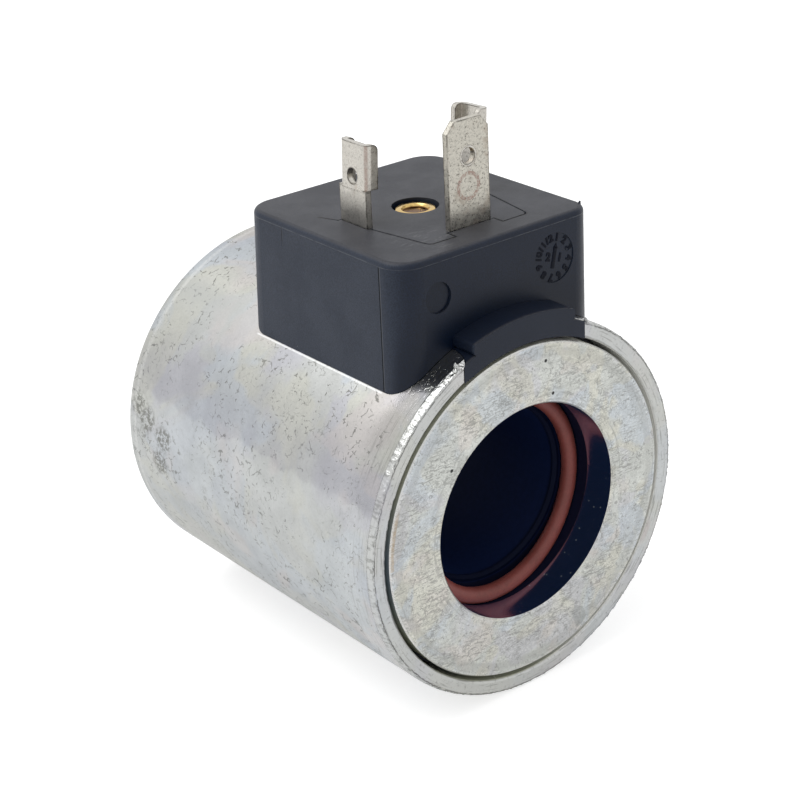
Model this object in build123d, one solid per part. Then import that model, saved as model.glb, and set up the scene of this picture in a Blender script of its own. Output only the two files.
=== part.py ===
from build123d import *
import math
import os

os.makedirs("parts", exist_ok=True)

# Round solenoid coil with a connector head. The bore lies along Y, the open front end of the
# can faces -Y, and the connector pins point to +Z. The origin is on the bore axis at mid length.
# All sizes are in millimetres.

# Can: a deep drawn steel cup with a slot for the neck of the moulding
can_length = 54.0
can_diameter = 49.0
can_wall = 2.1
can_bottom = 1.8
can_bottom_radius = 1.6
can_inner_corner = 0.8
can_mouth_radius = 0.4
rim_taper_length = 1.05
rim_taper_drop = 0.25
rim_bevel = 0.12
slot_width = 16.26
slot_length = 33.0
slot_corner_radius = 3.0
slot_flare_length = 3.6
slot_flare_radius = 5.8
slot_nose_depth = 0.35
slot_nose_slope = 1.5
slot_overrun = 1.0

# End plates: thick steel washers that carry the magnetic flux to the tube
plate_thickness = 4.5
rear_plate_thickness = 3.0
plate_bore = 28.1
plate_rim_gap = 0.57
rear_plate_gap = 0.25
plate_edge_break = 0.2

# Bobbin, with a seat for a seal at each end
tube_bore = 23.0
barrel_wall = 1.4
flange_thickness = 1.9
seal_seat_depth = 3.4
collar_wall = 1.6
bore_lead_in = 0.4
lead_notch_width = 1.3
lead_notch_depth = 3.0
lead_spacing = 9.0

# Seals
seal_section = 2.4
seal_bore_gap = 0.15
seal_side_gap = 0.15
seal_end_gap = 0.05

# Winding, its tape and the moulded jacket around them
jacket_wall = 2.3
winding_end_gap = 0.1
winding_edge_break = 0.4
tape_thickness = 0.3
tape_inset = 0.3
tape_lap_angle = 25.0
mould_gap = 0.1

# Connector head: a drafted box on a saddle, with a neck and a rib that reach the front
head_width = 30.0
head_length = 31.0
head_rise = 10.35
head_corner_radius = 3.6
head_right_corner_radius = 2.6
head_right_corner_growth = 0.067
head_edge_radius = 0.7
head_draft = 2.7
connector_setback = 19.8
saddle_gap = 0.05
strip_top_drop = 0.05
rib_width = 15.9
rib_rise = 1.35
rib_corner_radius = 0.5
gauge_drop = 4.98
date_ring_x = 8.47
date_ring_diameter = 6.2
date_ring_depth = 0.12
cavity_disc_x = -9.65
cavity_disc_diameter = 3.8
cavity_disc_depth = 0.3

# Terminal carrier: a flat block, flush with the top of the head, that holds pins and insert
carrier_thickness = 3.0
carrier_leg_reach = 12.0
carrier_leg_inner = 3.7
carrier_leg_outer = 7.6
carrier_leg_chamfer = 0.5
carrier_waist = 9.1
carrier_tail_width = 21.8
carrier_tail_reach = 9.6
carrier_tail_start = 5.0
carrier_tail_radius = 1.0
carrier_flare = 0.5
boss_wall = 1.8
boss_floor = 0.8
seam_gap = 0.12

# Power terminals: stamped pins folded to a U above the head. Both are bent from use at a crease
# below the fold, and the right one also where it leaves the head, from which it is drawn up.
sheet = 0.8
pin_spacing = 18.0
pin_width = 5.1
pin_height = 10.1
pin_fold_start = 4.6
pin_fold_depth = 1.9
pin_fold_radius = 0.9
pin_tip_radius = 0.8
pin_hole_diameter = 1.95
pin_hole_height = 6.0
pin_tail_width = 2.4
pin_tail_length = 4.2
pin_tail_notch = 0.35
pin_crease_height = 4.4
left_fold_lean_inwards = 3.0
right_fold_lean_back = 2.4
right_root_depth = 0.4
right_root_lean_outwards = 5.5
right_rise = 0.4

# Ground terminal: a flat blade whose tail is bent down to the front plate
blade_width = 6.3
blade_height = 13.1
blade_offset = 10.0
blade_tip_width = 3.9
blade_tip_height = 1.35
blade_hole_diameter = 2.0
blade_hole_height = 8.6
ground_tail_width = 3.0
ground_tail_drop = 1.3
ground_foot_length = 5.6
ground_bend_radius = 1.2

# Threaded insert in the carrier
insert_diameter = 5.1
insert_length = 8.0
insert_hole_diameter = 2.5
insert_chamfer = 0.35
insert_sink = 0.35
insert_groove_width = 1.0
insert_groove_depth = 0.35
insert_gap = 0.03
insert_recess_diameter = 5.9
insert_recess_depth = 1.3

# Lead wires and their soldered ends
lead_diameter = 0.6
lead_gap = 0.05
lead_bend_radius = 1.2
lead_clearance = 0.4
solder_radius = 1.4

# Places along the bore axis
front_y = -can_length / 2
rear_y = can_length / 2
plate_back_y = front_y + plate_thickness
can_floor_y = rear_y - can_bottom
rear_plate_front_y = can_floor_y - rear_plate_thickness
front_shoulder_y = plate_back_y + seal_seat_depth
rear_shoulder_y = rear_plate_front_y - seal_seat_depth
front_flange_y = front_shoulder_y + flange_thickness
rear_flange_y = rear_shoulder_y - flange_thickness
connector_y = front_y + connector_setback
slot_end_y = front_y + slot_length

# Radii about the bore axis
can_radius = can_diameter / 2
can_inner_radius = can_radius - can_wall
plate_radius = can_inner_radius - plate_rim_gap
plate_bore_radius = plate_bore / 2
tube_radius = tube_bore / 2
barrel_radius = tube_radius + barrel_wall
seal_inner_radius = tube_radius + seal_bore_gap
seal_centre_radius = seal_inner_radius + seal_section / 2
seal_seat_radius = seal_inner_radius + seal_section + seal_side_gap
collar_radius = seal_seat_radius + collar_wall
jacket_radius = can_inner_radius - mould_gap
jacket_inner_radius = jacket_radius - jacket_wall
flange_radius = jacket_inner_radius - mould_gap
tape_radius = flange_radius - tape_inset
winding_radius = tape_radius - tape_thickness
strip_radius = can_radius - strip_top_drop
rib_radius = can_radius + rib_rise
saddle_radius = can_radius + saddle_gap

# Heights and places of the connector
head_top_z = can_radius + head_rise
carrier_bottom_z = head_top_z - carrier_thickness
blade_y = connector_y - blade_offset
pin_x = pin_spacing / 2
pin_outer_x = pin_x + sheet / 2
insert_top_z = head_top_z - insert_sink
boss_radius = insert_diameter / 2 + boss_wall
boss_bottom_z = insert_top_z - insert_length - boss_floor
lead_x = lead_spacing / 2


def cylinder_y(radius, start_y, end_y):
    """Solid cylinder on the bore axis."""
    place = Pos(0, (start_y + end_y) / 2, 0) * Rot(90, 0, 0)
    return place * Cylinder(radius, end_y - start_y)


def turned(corners, rounds):
    """Solid of revolution about the bore axis, from (radius, y) corners.

    rounds maps the index of each rounded corner to its radius.
    """
    face = make_face(Polyline(*corners, close=True))
    for index, radius in rounds.items():
        corner = face.vertices().sort_by_distance(Vector(*corners[index], 0))[0]
        face = fillet(corner, radius)
    return revolve(face, axis=Axis.Y)


def block(width, start_y, end_y, start_z, end_z):
    """Box centred on the middle plane x = 0."""
    place = Pos(0, (start_y + end_y) / 2, (start_z + end_z) / 2)
    return place * Box(width, end_y - start_y, end_z - start_z)


def upright_prism(outline, start_z, end_z):
    """Prism on a closed (x, y) outline."""
    return extrude(Plane.XY.offset(start_z) * make_face(Polyline(*outline, close=True)), end_z - start_z)


def slot_prism(inset, overrun):
    """Upright prism of the slot, from the middle of the can to above it. Its walls flare at the front.

    The neck in the slot is smaller all round by inset. overrun is how far the prism reaches past the
    front face.
    """

    def wall(depth):
        reach = slot_flare_length - depth
        x = slot_width / 2 + slot_flare_radius - math.sqrt((slot_flare_radius + inset)**2 - reach**2)
        return x, front_y + depth

    end_y = slot_end_y - inset
    nose = wall(slot_nose_depth)
    middle = wall((slot_nose_depth + slot_flare_length) / 2)
    foot = wall(slot_flare_length)
    front = (nose[0] + (slot_nose_depth + overrun) * slot_nose_slope, front_y - overrun)
    edges = [Line((-foot[0], end_y), (foot[0], end_y)), Line((-front[0], front[1]), front)]
    for side in (-1, 1):
        corners = [(side * x, y) for x, y in (front, nose, middle, foot)]
        edges.append(Line(corners[0], corners[1]))
        edges.append(ThreePointArc(*corners[1:]))
        edges.append(Line(corners[3], (corners[3][0], end_y)))
    outline = make_face(edges)
    rear_corners = outline.vertices().group_by(Axis.Y)[-1]
    return extrude(fillet(rear_corners, slot_corner_radius - inset), rib_radius)


def housing_can():
    """Drawn cup with a bored bottom, a tapered rim and a slot that is open at the front."""
    taper_radius = can_radius - rim_taper_drop
    corners = [
        (can_inner_radius, front_y),
        (taper_radius - rim_bevel, front_y),
        (taper_radius, front_y + rim_bevel),
        (can_radius, front_y + rim_taper_length),
        (can_radius, rear_y),
        (plate_bore_radius, rear_y),
        (plate_bore_radius, can_floor_y),
        (can_inner_radius, can_floor_y),
    ]
    rounds = {0: can_mouth_radius, 4: can_bottom_radius, 7: can_inner_corner}
    return turned(corners, rounds) - slot_prism(0, slot_overrun)


def front_plate():
    """Front pole plate: a washer with broken edges."""
    corners = [
        (plate_bore_radius, front_y + plate_edge_break),
        (plate_bore_radius + plate_edge_break, front_y),
        (plate_radius - plate_edge_break, front_y),
        (plate_radius, front_y + plate_edge_break),
        (plate_radius, plate_back_y - plate_edge_break),
        (plate_radius - plate_edge_break, plate_back_y),
        (plate_bore_radius, plate_back_y),
    ]
    return turned(corners, {})


def rear_plate():
    """Rear pole plate, on the floor of the can."""
    outer = can_inner_radius - rear_plate_gap
    corners = [
        (plate_bore_radius, rear_plate_front_y),
        (outer, rear_plate_front_y),
        (outer, can_floor_y),
        (plate_bore_radius, can_floor_y),
    ]
    return turned(corners, {2: can_inner_corner})


def bobbin():
    """Spool with a seal seat inside a collar at each end, and two notches for the leads."""
    corners = [
        (tube_radius + bore_lead_in, front_shoulder_y),
        (seal_seat_radius, front_shoulder_y),
        (seal_seat_radius, plate_back_y),
        (collar_radius, plate_back_y),
        (collar_radius, front_shoulder_y),
        (flange_radius, front_shoulder_y),
        (flange_radius, front_flange_y),
        (barrel_radius, front_flange_y),
        (barrel_radius, rear_flange_y),
        (flange_radius, rear_flange_y),
        (flange_radius, rear_shoulder_y),
        (collar_radius, rear_shoulder_y),
        (collar_radius, rear_plate_front_y),
        (seal_seat_radius, rear_plate_front_y),
        (seal_seat_radius, rear_shoulder_y),
        (tube_radius + bore_lead_in, rear_shoulder_y),
        (tube_radius, rear_shoulder_y - bore_lead_in),
        (tube_radius, front_shoulder_y + bore_lead_in),
    ]
    spool = turned(corners, {})
    notch_bottom = flange_radius - lead_notch_depth
    for side in (-1, 1):
        notch = block(lead_notch_width, front_shoulder_y, front_flange_y, notch_bottom, can_radius)
        spool -= Pos(side * lead_x, 0, 0) * notch
    return spool


def bobbin_envelope():
    """Space that the moulding leaves for the spool, the winding and the tape."""
    collar = collar_radius + mould_gap
    flange = flange_radius + mould_gap
    core = cylinder_y(collar, plate_back_y, rear_plate_front_y)
    return core + cylinder_y(flange, front_shoulder_y, rear_shoulder_y)


def winding():
    """Copper wire winding between the flanges, as one ring."""
    start_y = front_flange_y + winding_end_gap
    end_y = rear_flange_y - winding_end_gap
    corners = [
        (barrel_radius, start_y),
        (winding_radius - winding_edge_break, start_y),
        (winding_radius, start_y + winding_edge_break),
        (winding_radius, end_y - winding_edge_break),
        (winding_radius - winding_edge_break, end_y),
        (barrel_radius, end_y),
    ]
    return turned(corners, {})


def winding_tape():
    """Insulating tape around the winding, with a lap where its end lies over its start."""
    start_y = front_flange_y + winding_end_gap + winding_edge_break
    end_y = rear_flange_y - winding_end_gap - winding_edge_break
    wrap = cylinder_y(tape_radius, start_y, end_y) - cylinder_y(winding_radius, start_y, end_y)
    lap_outer = tape_radius + tape_inset
    lap_corners = [(tape_radius, start_y), (lap_outer, start_y), (lap_outer, end_y), (tape_radius, end_y)]
    lap_face = make_face(Polyline(*lap_corners, close=True))
    lap = revolve(lap_face, axis=Axis.Y, revolution_arc=tape_lap_angle)
    return wrap + lap


def seal(centre_y):
    """O-ring on the tube."""
    ring = make_face(Pos(seal_centre_radius, centre_y) * CenterArc((0, 0), seal_section / 2, 0, 360))
    return revolve(ring, axis=Axis.Y)


def front_seal():
    """O-ring in the front seat of the spool."""
    return seal(front_shoulder_y - seal_end_gap - seal_section / 2)


def rear_seal():
    """O-ring in the rear seat of the spool."""
    return seal(rear_shoulder_y + seal_end_gap + seal_section / 2)


def head_section(z):
    """Rounded outline of the head at a height: the left side and the front have draft."""
    drop = head_top_z - z
    spread = drop * math.tan(math.radians(head_draft))
    place = Pos(-spread / 2, connector_y - spread / 2)
    outline = place * Rectangle(head_width + spread, head_length + spread)
    front_right = Vector(head_width / 2, connector_y - head_length / 2 - spread)
    corners = outline.vertices().sort_by_distance(front_right)
    outline = fillet(corners[1:], head_corner_radius)
    corner = outline.vertices().sort_by_distance(front_right)[0]
    outline = fillet(corner, head_right_corner_radius + head_right_corner_growth * drop)
    return Plane.XY.offset(z) * outline


def head_block():
    """Drafted block of the head, down to where the can hides it."""
    lower_z = can_radius - can_wall - (can_radius - math.sqrt(can_radius**2 - (head_width / 2)**2))
    core = loft([head_section(lower_z), head_section(head_top_z)], ruled=True)
    return fillet(core.edges().group_by(Axis.Z)[-1], head_edge_radius)


def front_strip():
    """Arched end of the neck in the slot, and the narrower rib on top of it."""
    head_front_y = connector_y - head_length / 2
    neck_part = slot_prism(mould_gap, 0)
    rib_part = block(rib_width, front_y, head_front_y, 0, can_diameter)
    rib_root = cylinder_y(strip_radius - mould_gap, front_y, head_front_y)
    arch = cylinder_y(strip_radius, front_y, head_front_y) & neck_part
    rib = (cylinder_y(rib_radius, front_y, head_front_y) & rib_part) - rib_root
    rib_edges = [e for e in rib.edges().filter_by(Axis.Y) if abs(e.center().X) > rib_width / 2 - 0.01]
    top_edges = [e for e in rib_edges if e.center().Z > can_radius / 2]
    return arch + fillet(top_edges, rib_corner_radius)


def carrier_outline(grow):
    """Outline of the carrier seen from above. The front part grows by the seam, the rear doesn't."""
    blade_face_y = blade_y - sheet / 2 - grow
    leg_y = connector_y - carrier_leg_reach - grow
    pin_front_y = connector_y - pin_width / 2 - grow
    pin_rear_y = connector_y + pin_width / 2 - grow
    half = [
        (carrier_leg_inner - grow, blade_face_y),
        (carrier_leg_inner - grow, leg_y),
        (carrier_leg_outer - carrier_leg_chamfer + grow, leg_y),
        (carrier_leg_outer + grow, leg_y + carrier_leg_chamfer),
        (carrier_waist + grow, pin_front_y),
        (pin_outer_x + grow, pin_front_y),
        (pin_outer_x + grow, pin_rear_y),
        (pin_outer_x + carrier_flare + grow, pin_rear_y),
        (carrier_tail_width / 2, connector_y + carrier_tail_start),
        (carrier_tail_width / 2, connector_y + carrier_tail_reach),
    ]
    return half + [(-x, y) for x, y in reversed(half)]


def carrier_block(grow):
    """Carrier without its holes: a flat plate and the boss under it for the insert."""
    plate = upright_prism(carrier_outline(grow), carrier_bottom_z, head_top_z)
    tail_edges = plate.edges().filter_by(Axis.Z).group_by(Axis.Y)[-1]
    boss_height = carrier_bottom_z - boss_bottom_z
    boss = Pos(0, connector_y, carrier_bottom_z - boss_height / 2) * Cylinder(boss_radius, boss_height)
    return fillet(tail_edges, carrier_tail_radius) + boss


def terminal_carrier():
    """Carrier with its slots for the pins, its bore for the insert and the recess above that."""
    bore_bottom_z = insert_top_z - insert_length
    bore_height = head_top_z - bore_bottom_z
    bore = Pos(0, connector_y, head_top_z - bore_height / 2)
    bore = bore * Cylinder(insert_diameter / 2 + insert_gap, bore_height)
    recess = Pos(0, connector_y, head_top_z - insert_recess_depth / 2)
    recess = recess * Cylinder(insert_recess_diameter / 2, insert_recess_depth)
    carrier = carrier_block(0) - bore - recess
    for pin in (terminal_right(), terminal_left(), ground_terminal()):
        carrier -= pin
    return carrier


def straight_pin(rise):
    """Right power pin as stamped: a flat web through the carrier, folded to a U above, with a tail.

    rise is how far the part above the head stands higher than it should.
    """
    web_top_z = head_top_z + pin_height + rise
    fold_z = head_top_z + pin_fold_start + rise
    tail_z = carrier_bottom_z - pin_tail_length
    web = Pos(pin_x, connector_y, (carrier_bottom_z + web_top_z) / 2)
    web = web * Box(sheet, pin_width, web_top_z - carrier_bottom_z)
    tail = Pos(pin_x, connector_y, (carrier_bottom_z + tail_z) / 2)
    tail = tail * Box(sheet, pin_tail_width, carrier_bottom_z - tail_z)
    notch_z = tail_z + pin_tail_width / 2
    notch_y = connector_y - pin_tail_width / 2
    notch = Pos(pin_x, notch_y, notch_z) * Rot(0, 90, 0) * Cylinder(pin_tail_notch, 2 * sheet)

    outside = Pos(pin_outer_x - pin_fold_depth, connector_y) * Rectangle(2 * pin_fold_depth, pin_width)
    outside = fillet(outside.vertices().group_by(Axis.X)[-1], pin_fold_radius)
    inside = Pos(pin_outer_x - pin_fold_depth - sheet, connector_y)
    inside = inside * Rectangle(2 * pin_fold_depth, pin_width - 2 * sheet)
    inside = fillet(inside.vertices().group_by(Axis.X)[-1], max(pin_fold_radius - sheet, 0.05))
    left_half = Pos(pin_outer_x - 2 * pin_fold_depth, connector_y)
    left_half = left_half * Rectangle(2 * pin_fold_depth, 2 * pin_width)
    channel = extrude(Plane.XY.offset(fold_z) * (outside - inside - left_half), web_top_z - fold_z)
    tips = channel.edges().filter_by(Axis.Y).group_by(Axis.Z)[-1]
    free_tips = [e for e in tips if e.center().X < pin_outer_x - pin_fold_depth + 0.01]
    channel = fillet(free_tips, pin_tip_radius)

    corner_cut = Pos(0, 0, fold_z) * (extrude(Plane.XY * (outside_square() - outside), web_top_z - fold_z))
    pin = web - corner_cut + channel + tail - notch
    hole_z = head_top_z + pin_hole_height + rise
    hole = Pos(pin_x, connector_y, hole_z) * Rot(0, 90, 0) * Cylinder(pin_hole_diameter / 2, 2 * sheet)
    return pin - hole


def outside_square():
    """Unrounded outline of the folded pin, which trims its web to the rounded folds."""
    return Pos(pin_outer_x - pin_fold_depth, connector_y) * Rectangle(2 * pin_fold_depth, pin_width)


def bent(pin, crease_x, crease_z, level_direction, lean):
    """Upright pin with the part above a crease turned about a level line through it.

    Both parts are cut on the plane halfway between them, so that they meet on one face.
    """
    crease = Vector(crease_x, connector_y, crease_z)
    level = Axis(crease, level_direction)
    lower_cut = Plane(crease, z_dir=Vector(0, 0, 1).rotate(level, lean / 2))
    upper_cut = Plane(crease, z_dir=Vector(0, 0, 1).rotate(level, -lean / 2))
    lower = split(pin, bisect_by=lower_cut, keep=Keep.BOTTOM)
    upper = split(pin, bisect_by=upper_cut, keep=Keep.TOP)
    return lower + upper.rotate(level, lean)


def terminal_right():
    """Right power pin, which leans outwards from the head and back from its crease."""
    crease_z = head_top_z + pin_crease_height + right_rise
    pin = bent(straight_pin(right_rise), pin_x, crease_z, (-1, 0, 0), right_fold_lean_back)
    return bent(pin, pin_x, head_top_z - right_root_depth, (0, 1, 0), right_root_lean_outwards)


def terminal_left():
    """Left power pin, facing the right one, with its folded part bent inwards."""
    pin = mirror(straight_pin(0), Plane.YZ)
    return bent(pin, -pin_x, head_top_z + pin_crease_height, (0, 1, 0), left_fold_lean_inwards)


def ground_terminal():
    """Flat blade with a chamfered tip, and a tail bent down to lie on the back of the front plate."""
    blade_top_z = head_top_z + blade_height
    shoulder_z = blade_top_z - blade_tip_height
    outline = [
        (-blade_width / 2, carrier_bottom_z),
        (blade_width / 2, carrier_bottom_z),
        (blade_width / 2, shoulder_z),
        (blade_tip_width / 2, blade_top_z),
        (-blade_tip_width / 2, blade_top_z),
        (-blade_width / 2, shoulder_z),
    ]
    face = Plane.XZ.offset(-blade_y - sheet / 2) * make_face(Polyline(*outline, close=True))
    blade = extrude(face, sheet)
    hole = Pos(0, blade_y, head_top_z + blade_hole_height) * Rot(90, 0, 0)
    blade -= hole * Cylinder(blade_hole_diameter / 2, 2 * sheet)

    foot_y = plate_back_y + sheet / 2
    step_z = can_radius - ground_tail_drop
    bend = FilletPolyline(
        (blade_y, carrier_bottom_z),
        (blade_y, step_z),
        (foot_y, step_z),
        (foot_y, step_z - ground_foot_length),
        radius=ground_bend_radius,
    )
    tail = extrude(Plane.YZ * trace(bend, sheet), ground_tail_width / 2, both=True)
    return blade + tail


def threaded_insert():
    """Brass insert with a retaining groove; its hole has the core diameter of the thread."""
    outer = insert_diameter / 2
    hole = insert_hole_diameter / 2
    bottom_z = insert_top_z - insert_length
    groove_start = bottom_z + (insert_length - insert_groove_width) / 2
    groove_end = groove_start + insert_groove_width
    corners = [
        (hole, bottom_z),
        (outer - insert_chamfer, bottom_z),
        (outer, bottom_z + insert_chamfer),
        (outer, groove_start),
        (outer - insert_groove_depth, groove_start),
        (outer - insert_groove_depth, groove_end),
        (outer, groove_end),
        (outer, insert_top_z),
        (hole + insert_chamfer, insert_top_z),
        (hole, insert_top_z - insert_chamfer),
    ]
    profile = Plane.XZ * make_face(Polyline(*corners, close=True))
    return Pos(0, connector_y, 0) * revolve(profile, axis=Axis.Z)


def lead_path(side):
    """Route of a lead: out of the winding through the notch, up the neck and back to its pin."""
    start_y = front_flange_y + winding_end_gap
    start_z = winding_radius - lead_diameter
    rise_y = front_shoulder_y - lead_clearance - lead_diameter
    tail_z = carrier_bottom_z - pin_tail_length + pin_tail_width / 2
    end_y = connector_y - pin_tail_width / 2
    turn_z = can_radius + (tail_z - can_radius) / 2
    return FilletPolyline(
        (side * lead_x, start_y, start_z),
        (side * lead_x, rise_y, start_z),
        (side * lead_x, rise_y, turn_z),
        (side * pin_x, end_y - 2 * lead_bend_radius, tail_z),
        (side * pin_x, end_y, tail_z),
        radius=lead_bend_radius,
    )


def lead_wire(side, radius):
    """Round wire along a lead's route."""
    path = lead_path(side)
    start = Plane(origin=path @ 0, z_dir=path % 0)
    return sweep(start * Circle(radius), path=path)


def winding_leads():
    """The two ends of the winding, one to each power pin."""
    return [lead_wire(side, lead_diameter / 2) for side in (-1, 1)]


def solder_joints():
    """A bead of solder around each pin's tail and the wire in its notch."""
    tail_z = carrier_bottom_z - pin_tail_length + pin_tail_width / 2
    joints = []
    for side, pin, lead in zip((-1, 1), (terminal_left(), terminal_right()), winding_leads()):
        bead = Pos(side * pin_x, connector_y - pin_tail_width / 4, tail_z) * Sphere(solder_radius)
        joints.append(bead - pin - lead)
    return joints


def gauge_marks():
    """Round recesses in the front of the head: the date ring and the cavity mark."""
    mark_z = head_top_z - gauge_drop
    face_y = connector_y - head_length / 2 - gauge_drop * math.tan(math.radians(head_draft))
    tilt = Rot(90 - head_draft, 0, 0)
    date = Pos(date_ring_x, face_y, mark_z) * tilt
    cavity = Pos(cavity_disc_x, face_y, mark_z) * tilt
    date_cut = date * Cylinder(date_ring_diameter / 2, 2 * date_ring_depth)
    cavity_cut = cavity * Cylinder(cavity_disc_diameter / 2, 2 * cavity_disc_depth)
    return date_cut + cavity_cut


def moulded_body():
    """Black moulding: the head, its neck in the slot, the rib and the jacket around the winding."""
    saddle = cylinder_y(saddle_radius, front_y, rear_y) - slot_prism(mould_gap, 0)
    head = head_block() - saddle
    body = head + front_strip() + cylinder_y(jacket_radius, plate_back_y, rear_plate_front_y)
    body -= cylinder_y(can_inner_radius, front_y, plate_back_y)
    body -= bobbin_envelope()
    body -= carrier_block(seam_gap)
    body -= gauge_marks()
    for pin in (terminal_right(), terminal_left(), ground_terminal()):
        body -= pin
    for bead in solder_joints():
        body -= bead
    for side in (-1, 1):
        body -= lead_wire(side, lead_diameter / 2 + lead_gap)
    return body


def main():
    """Write one STEP file for each piece."""
    pieces = {
        "housing_can": housing_can(),
        "front_plate": front_plate(),
        "rear_plate": rear_plate(),
        "bobbin": bobbin(),
        "copper_winding": winding(),
        "winding_tape": winding_tape(),
        "front_seal_ring": front_seal(),
        "rear_seal_ring": rear_seal(),
        "moulded_body": moulded_body(),
        "terminal_carrier": terminal_carrier(),
        "power_terminal_left": terminal_left(),
        "power_terminal_right": terminal_right(),
        "ground_terminal": ground_terminal(),
        "threaded_insert": threaded_insert(),
        "winding_leads": Compound(children=winding_leads()),
        "solder_joints": Compound(children=solder_joints()),
    }
    for name, piece in pieces.items():
        export_step(piece, f"parts/{name}.step")
        print(name)


main()
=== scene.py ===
import math
from types import SimpleNamespace

import bmesh
import bpy
from mathutils import Matrix, Vector, noise


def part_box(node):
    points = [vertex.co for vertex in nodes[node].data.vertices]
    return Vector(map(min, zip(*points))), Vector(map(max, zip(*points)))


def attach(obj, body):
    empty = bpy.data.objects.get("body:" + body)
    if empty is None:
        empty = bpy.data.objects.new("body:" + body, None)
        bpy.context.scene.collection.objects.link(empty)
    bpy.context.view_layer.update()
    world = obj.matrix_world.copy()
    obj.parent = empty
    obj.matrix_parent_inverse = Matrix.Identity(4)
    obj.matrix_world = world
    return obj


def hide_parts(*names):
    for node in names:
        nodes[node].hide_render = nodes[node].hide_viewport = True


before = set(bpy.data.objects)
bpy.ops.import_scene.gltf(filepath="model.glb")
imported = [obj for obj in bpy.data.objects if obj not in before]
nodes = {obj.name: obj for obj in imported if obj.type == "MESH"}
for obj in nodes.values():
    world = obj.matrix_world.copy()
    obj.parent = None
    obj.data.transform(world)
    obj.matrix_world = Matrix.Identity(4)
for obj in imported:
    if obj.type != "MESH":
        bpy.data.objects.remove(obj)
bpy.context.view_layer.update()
scene = bpy.context.scene
mm = 0.001
print("frame loaded:", len(nodes), "pieces")


# places read from the frame
canLow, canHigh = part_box("housing_can")
canRadius = (canHigh.x - canLow.x) / 2
frontY = canLow.y
insertLow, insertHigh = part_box("threaded_insert")
connectorY = (insertLow.y + insertHigh.y) / 2
bladeHeight = 13.1 * mm  # of the ground terminal over the head
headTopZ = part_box("ground_terminal")[1].z - bladeHeight
floorZ = canLow.z


# a small kit for node trees; the points that it hands on are in millimetres
def startMaterial(name):
    material = bpy.data.materials.new(name)
    material.use_nodes = True
    return material, material.node_tree


def addNode(tree, kind, **settings):
    node = tree.nodes.new(kind)
    for key, value in settings.items():
        setattr(node, key, value)
    return node


def setSocket(tree, socket, value):
    # a socket takes a link from another socket, or a plain value
    if isinstance(value, bpy.types.NodeSocket):
        tree.links.new(value, socket)
    elif isinstance(value, tuple) and len(value) == 3 and socket.type == "RGBA":
        socket.default_value = (*value, 1)
    else:
        socket.default_value = value


def mmPoint(tree):
    # object coordinates in millimetres
    coordinate = addNode(tree, "ShaderNodeTexCoord")
    mapping = addNode(tree, "ShaderNodeMapping")
    mapping.inputs["Scale"].default_value = (1 / mm, 1 / mm, 1 / mm)
    tree.links.new(coordinate.outputs["Object"], mapping.inputs["Vector"])
    return mapping.outputs["Vector"]


def splitPoint(tree, point):
    node = addNode(tree, "ShaderNodeSeparateXYZ")
    setSocket(tree, node.inputs[0], point)
    return node.outputs


def joinPoint(tree, x=0.0, y=0.0, z=0.0):
    node = addNode(tree, "ShaderNodeCombineXYZ")
    for socket, value in zip(node.inputs, (x, y, z)):
        setSocket(tree, socket, value)
    return node.outputs[0]


def maths(tree, operation, first, second=0.0, clamp=False):
    node = addNode(tree, "ShaderNodeMath", operation=operation, use_clamp=clamp)
    for socket, value in zip(node.inputs, (first, second)):
        setSocket(tree, socket, value)
    return node.outputs["Value"]


def product(tree, first, *others):
    result = first
    for other in others:
        result = maths(tree, "MULTIPLY", result, other)
    return result


def highest(tree, first, *others):
    result = first
    for other in others:
        result = maths(tree, "MAXIMUM", result, other)
    return result


def vectorMaths(tree, operation, first, second=(0, 0, 0), scale=1.0):
    node = addNode(tree, "ShaderNodeVectorMath", operation=operation)
    for index, value in ((0, first), (1, second), (3, scale)):
        setSocket(tree, node.inputs[index], value)
    givesNumber = operation in ("DISTANCE", "LENGTH", "DOT_PRODUCT")
    return node.outputs[1] if givesNumber else node.outputs[0]


def placesOf(tree):
    # where a point lies: x, y, z, distance from the bore axis, angle about it from +X towards +Z,
    # and depth behind the front face
    point = mmPoint(tree)
    x, y, z = splitPoint(tree, point)
    squares = maths(tree, "ADD", maths(tree, "MULTIPLY", x, x), maths(tree, "MULTIPLY", z, z))
    radius = maths(tree, "SQRT", squares)
    angle = maths(tree, "ARCTAN2", z, x)
    depth = maths(tree, "SUBTRACT", y, frontY / mm)
    return SimpleNamespace(point=point, x=x, y=y, z=z, radius=radius, angle=angle, depth=depth)


def noiseOutputs(tree, point, scale, detail, roughness, distortion):
    node = addNode(tree, "ShaderNodeTexNoise")
    setSocket(tree, node.inputs["Vector"], point)
    node.inputs["Scale"].default_value = scale
    node.inputs["Detail"].default_value = detail
    node.inputs["Roughness"].default_value = roughness
    node.inputs["Distortion"].default_value = distortion
    return node.outputs


def noiseAt(tree, point, scale, detail=4.0, roughness=0.55, distortion=0.0):
    return noiseOutputs(tree, point, scale, detail, roughness, distortion)["Fac"]


def noiseColours(tree, point, scale, detail=3.0, roughness=0.55, distortion=0.0):
    # three noises that don't follow each other, from one texture
    return splitPoint(tree, noiseOutputs(tree, point, scale, detail, roughness, distortion)["Color"])


def warped(tree, point, scale, amount):
    # point pushed about by noise, amount in millimetres
    push = noiseOutputs(tree, point, scale, 3.0, 0.5, 0.0)["Color"]
    push = vectorMaths(tree, "SUBTRACT", push, (0.5, 0.5, 0.5))
    push = vectorMaths(tree, "SCALE", push, scale=2 * amount)
    return vectorMaths(tree, "ADD", point, push)


def cellAt(tree, point, scale, feature="F1"):
    node = addNode(tree, "ShaderNodeTexVoronoi", feature=feature)
    setSocket(tree, node.inputs["Vector"], point)
    node.inputs["Scale"].default_value = scale
    return node.outputs


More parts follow.
